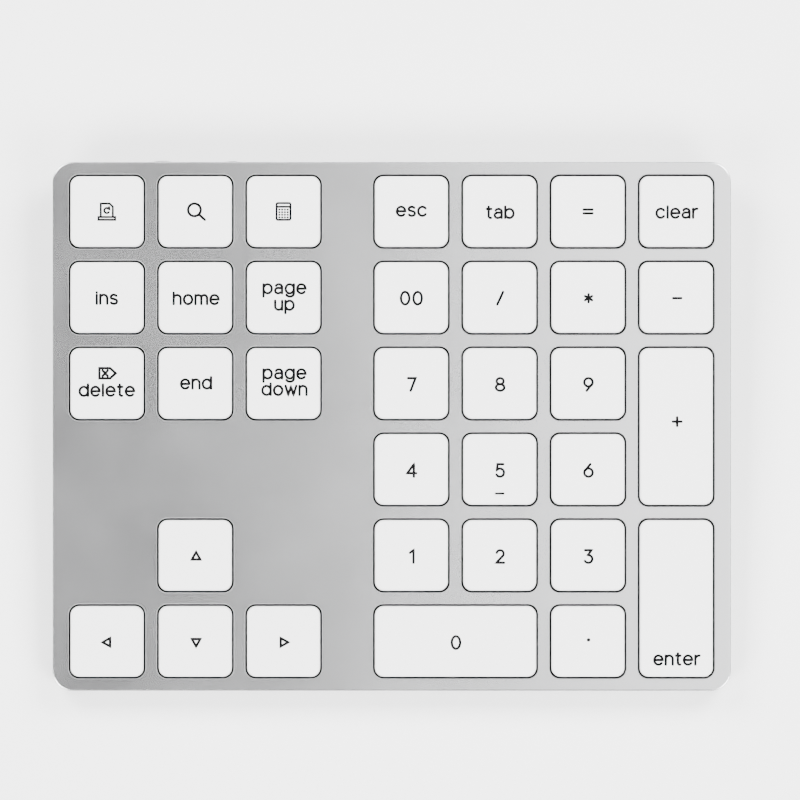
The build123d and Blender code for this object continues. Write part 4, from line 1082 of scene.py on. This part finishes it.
def board_finish():
    """Solder mask with tracks: thin bands of a warped wave show a lighter green."""
    material = finish_of("Board", (0.03, 0.19, 0.09), (0.02, 0.15, 0.07), 0.3, scale=900.0, depth=0.02)
    nodes, links = material.node_tree.nodes, material.node_tree.links
    if "Tracks" in nodes:
        return material
    shader = nodes["Principled BSDF"]
    place = nodes["Texture Coordinate"]
    wave = nodes.new("ShaderNodeTexWave")
    wave.name = "Tracks"
    wave.inputs["Scale"].default_value = 160.0
    wave.inputs["Distortion"].default_value = 3.0
    wave.inputs["Detail"].default_value = 1.0
    links.new(place.outputs["Object"], wave.inputs["Vector"])
    ramp = nodes.new("ShaderNodeValToRGB")
    ramp.color_ramp.elements[0].position = 0.72
    ramp.color_ramp.elements[1].position = 0.78
    links.new(wave.outputs["Fac"], ramp.inputs["Fac"])
    tint = nodes.new("ShaderNodeMix")
    tint.data_type = "RGBA"
    tint.inputs["B"].default_value = (0.07, 0.34, 0.16, 1.0)
    base = shader.inputs["Base Color"].links[0].from_socket
    links.new(base, tint.inputs["A"])
    links.new(ramp.outputs["Color"], tint.inputs["Factor"])
    links.new(tint.outputs["Result"], shader.inputs["Base Color"])
    return material


# Name, light and dark tone, roughness, and what finish_of takes besides, with the nodes it is for
INNER_FINISHES = (
    (
        "Zinc-plated sheet", (0.62, 0.63, 0.64), (0.54, 0.55, 0.57), 0.34,
        {"metallic": 1.0, "scale": 700.0, "depth": 0.05, "spread": 0.2},
        ["key_base_plate"],
    ),
    (
        "Spring wire", (0.60, 0.61, 0.62), (0.52, 0.53, 0.54), 0.26,
        {"metallic": 1.0, "scale": 2500.0, "depth": 0.06},
        ["stabiliser_bar_plus", "stabiliser_bar_enter", "stabiliser_bar_0"],
    ),
    (
        "Black moulding", (0.03, 0.03, 0.032), (0.02, 0.02, 0.022), 0.45,
        {"scale": 3000.0, "depth": 0.12},
        ["usb_socket_tongue", "power_switch_body", "pairing_tact_switch"],
    ),
    (
        # Near black so the gaps round the caps read dark: painted shade between the caps and the deck.
        "Printed film, black as painted gap shade", (0.03, 0.03, 0.032), (0.02, 0.02, 0.022), 0.5,
        {"scale": 500.0, "depth": 0.05},
        ["membrane_top_layer", "membrane_spacer_layer", "membrane_bottom_layer"],
    ),
    (
        "Plated shell", (0.70, 0.70, 0.71), (0.62, 0.62, 0.63), 0.22,
        {"metallic": 1.0, "scale": 1500.0, "depth": 0.04},
        ["usb_socket_shell"],
    ),
    (
        "Black oxide", (0.10, 0.10, 0.105), (0.07, 0.07, 0.075), 0.38,
        {"metallic": 1.0, "scale": 3500.0, "depth": 0.1},
        ["case_screws", "plate_screws"],
    ),
    (
        "Cell pouch", (0.66, 0.67, 0.69), (0.58, 0.59, 0.61), 0.34,
        {"metallic": 1.0, "scale": 350.0, "depth": 0.4, "spread": 0.15},
        ["battery_cell"],
    ),
    (
        "Connector moulding", (0.74, 0.71, 0.62), (0.70, 0.67, 0.58), 0.45,
        {"scale": 2500.0, "depth": 0.08},
        ["membrane_connector"],
    ),
    (
        "Lead insulation", (0.50, 0.04, 0.035), (0.40, 0.03, 0.03), 0.4,
        {"scale": 2500.0, "depth": 0.06},
        ["battery_leads"],
    ),
    (
        "Light pipe", (0.90, 0.93, 0.93), (0.86, 0.90, 0.90), 0.16,
        {"scale": 2500.0, "depth": 0.02, "Transmission_Weight": 0.7, "IOR": 1.58},
        ["status_light_pipe"],
    ),
)


class KEYPAD_OT_case(bpy.types.Operator):
    """Finish the aluminium case, the cover and everything fixed inside them"""

    bl_idname = "keypad.case"
    bl_label = "Case and inner parts"

    def execute(self, context):
        s = settings("case")
        light, dark = shade(s.metal_colour, 1.02), shade(s.metal_colour, 0.97)
        gloss = s.metal_gloss
        metal = finish_of("Blasted aluminium", light, dark, gloss, metallic=1.0, scale=5200.0, depth=0.12)
        dress("top_case", metal)
        light, dark = shade(s.cover_colour, 1.02), shade(s.cover_colour, 0.98)
        dress("bottom_cover", finish_of("Cover plastic", light, dark, 0.58, scale=2600.0, depth=0.5))
        dress("main_circuit_board", board_finish())
        for name, light, dark, roughness, rest, nodes in INNER_FINISHES:
            for node in nodes:
                dress(node, finish_of(name, light, dark, roughness, **rest))
        return {"FINISHED"}


# ---------------------------------------------------------------------------
# Stage
# ---------------------------------------------------------------------------


CORNERS = (("Rear right", 1, 1), ("Rear left", -1, 1), ("Front left", -1, -1), ("Front right", 1, -1))
CORNER_PLACE = (0.76, 1.04)  # how far out each way, and how high
CORNER_SIZE = (0.8, 0.7)
CORNER_POWER = 40.0
SHEEN_PLACE = (0.30, 0.15, 0.62)
SHEEN_AIM = (0.30, 0.15, 0.0)
SHEEN_SIZE = (0.56, 0.64)
SHEEN_POWER = 3.1
SKY_RISE = {"From Min": 0.1, "From Max": 0.6, "To Min": 0.45, "To Max": 0.08}
FLOOR_GAP = 0.02 * MM
FLOOR_CELLS = 8
SENSOR_WIDTH = 36.0


def set_down(thing, columns, place):
    """Stands an object at a place, with its own axes along the given columns."""
    rows = [[*row, p] for row, p in zip(columns, place)]
    thing.matrix_world = Matrix(rows + [[0, 0, 0, 1]])
    bpy.context.scene.collection.objects.link(thing)


def area_light(name, place, aim, size, power):
    """A rectangular soft light at place that points at aim."""
    light = bpy.data.lights.new(name, "AREA")
    light.shape = "RECTANGLE"
    light.size, light.size_y = size
    light.energy = power
    lamp = bpy.data.objects.new(name, light)
    place, aim = np.array(place, float), np.array(aim, float)
    ahead = (aim - place) / np.linalg.norm(aim - place)
    across = np.cross(ahead, [0.0, 1.0, 0.0])
    across /= np.linalg.norm(across)
    above = np.cross(across, ahead)
    set_down(lamp, np.array([across, above, -ahead]).T, place)
    return lamp


class KEYPAD_OT_stage(bpy.types.Operator):
    """Place the camera, the floor and the soft lights"""

    bl_idname = "keypad.stage"
    bl_label = "Stage"

    def execute(self, context):
        s = settings("stage")
        self.camera(s)
        self.floor(s)
        self.lights()
        return {"FINISHED"}

    def camera(self, s):
        """The camera looks straight down on the deck, far off with a long lens."""
        data = bpy.data.cameras.new("Keypad camera")
        data.lens = s.lens
        data.sensor_width = SENSOR_WIDTH
        distance = s.view_width * s.lens / SENSOR_WIDTH
        data.clip_end = distance * 4
        camera = bpy.data.objects.new("Keypad camera", data)
        set_down(camera, DECK.T, to_row([s.aim_x, s.aim_y, distance]))
        bpy.context.scene.camera = camera

    def floor(self, s):
        """A flat floor of one grid, just under the level of the feet."""
        steps = np.linspace(-s.floor_size / 2, s.floor_size / 2, FLOOR_CELLS + 1)
        x, y = np.meshgrid(steps, steps)
        points = np.stack([x, y, np.full_like(x, -FLOOR_GAP)], axis=-1).reshape(-1, 3)
        i, j = np.meshgrid(np.arange(FLOOR_CELLS), np.arange(FLOOR_CELLS), indexing="ij")
        row = FLOOR_CELLS + 1
        a = (i * row + j).ravel()
        faces = np.stack([a, a + 1, a + row + 1, a + row], axis=-1)
        mesh = bpy.data.meshes.new("Floor")
        mesh.from_pydata(points.tolist(), [], faces.tolist())
        light, dark = s.floor_colour, shade(s.floor_colour, 0.99)
        paint = finish_of("Floor paint", light, dark, 0.7, scale=400.0, depth=0.02)
        mesh.materials.append(paint)
        floor = bpy.data.objects.new("Floor", mesh)
        bpy.context.scene.collection.objects.link(floor)

    def lights(self):
        """A near softbox above the right side gives the metal its sheen, four at the corners
        light the caps and the floor, and the sky is dark overhead and pale at its rim."""
        near = area_light("Sheen softbox", SHEEN_PLACE, SHEEN_AIM, SHEEN_SIZE, SHEEN_POWER)
        near.visible_camera = False
        out, high = CORNER_PLACE
        for name, x, y in CORNERS:
            place = (out * x, out * y, high)
            area_light(name + " softbox", place, (0.0, 0.0, 0.0), CORNER_SIZE, CORNER_POWER)
        world = bpy.data.worlds.new("Studio")
        world.use_nodes = True
        nodes, links = world.node_tree.nodes, world.node_tree.links
        place = nodes.new("ShaderNodeTexCoord")
        parts = nodes.new("ShaderNodeSeparateXYZ")
        links.new(place.outputs["Generated"], parts.inputs["Vector"])
        rise = nodes.new("ShaderNodeMapRange")
        for socket, value in SKY_RISE.items():
            rise.inputs[socket].default_value = value
        links.new(parts.outputs["Z"], rise.inputs["Value"])
        links.new(rise.outputs["Result"], nodes["Background"].inputs["Strength"])
        nodes["Background"].inputs["Color"].default_value = (1.0, 1.0, 1.0, 1.0)
        bpy.context.scene.world = world


class KEYPAD_PT_panel(bpy.types.Panel):
    """Buttons and settings of the keypad"""

    bl_idname = "KEYPAD_PT_panel"
    bl_label = "Numeric keypad"
    bl_space_type = "VIEW_3D"
    bl_region_type = "UI"
    bl_category = "Keypad"

    def draw(self, context):
        for kind, owner in SETTINGS.items():
            box = self.layout.box()
            box.label(text=kind.capitalize())
            for name in owner.__annotations__:
                box.prop(settings(kind), name)
        for operator in OPERATORS:
            self.layout.operator(operator.bl_idname)


SETTINGS = {"keycaps": KeycapSettings, "case": CaseSettings, "stage": StageSettings}
OPERATORS = (
    KEYPAD_OT_stage,
    KEYPAD_OT_keycaps,
    KEYPAD_OT_homing_bar,
    KEYPAD_OT_legends,
    KEYPAD_OT_domes,
    KEYPAD_OT_levers,
    KEYPAD_OT_feet,
    KEYPAD_OT_controls,
    KEYPAD_OT_case,
)


def register():
    """Makes the settings, operators and panel known to Blender."""
    for owner in (*SETTINGS.values(), *OPERATORS, KEYPAD_PT_panel):
        bpy.utils.register_class(owner)
    for kind, owner in SETTINGS.items():
        setattr(bpy.types.Scene, "keypad_" + kind, PointerProperty(type=owner))


def unregister():
    """Takes them away again."""
    for kind in SETTINGS:
        delattr(bpy.types.Scene, "keypad_" + kind)
    for owner in (KEYPAD_PT_panel, *reversed(OPERATORS), *SETTINGS.values()):
        bpy.utils.unregister_class(owner)


def main():
    """Builds everything in order."""
    register()
    bpy.ops.keypad.stage()
    bpy.ops.keypad.keycaps()
    bpy.ops.keypad.homing_bar()
    bpy.ops.keypad.legends()
    bpy.ops.keypad.domes()
    bpy.ops.keypad.levers()
    bpy.ops.keypad.feet()
    bpy.ops.keypad.controls()
    bpy.ops.keypad.case()


if __name__ == "__main__":
    main()
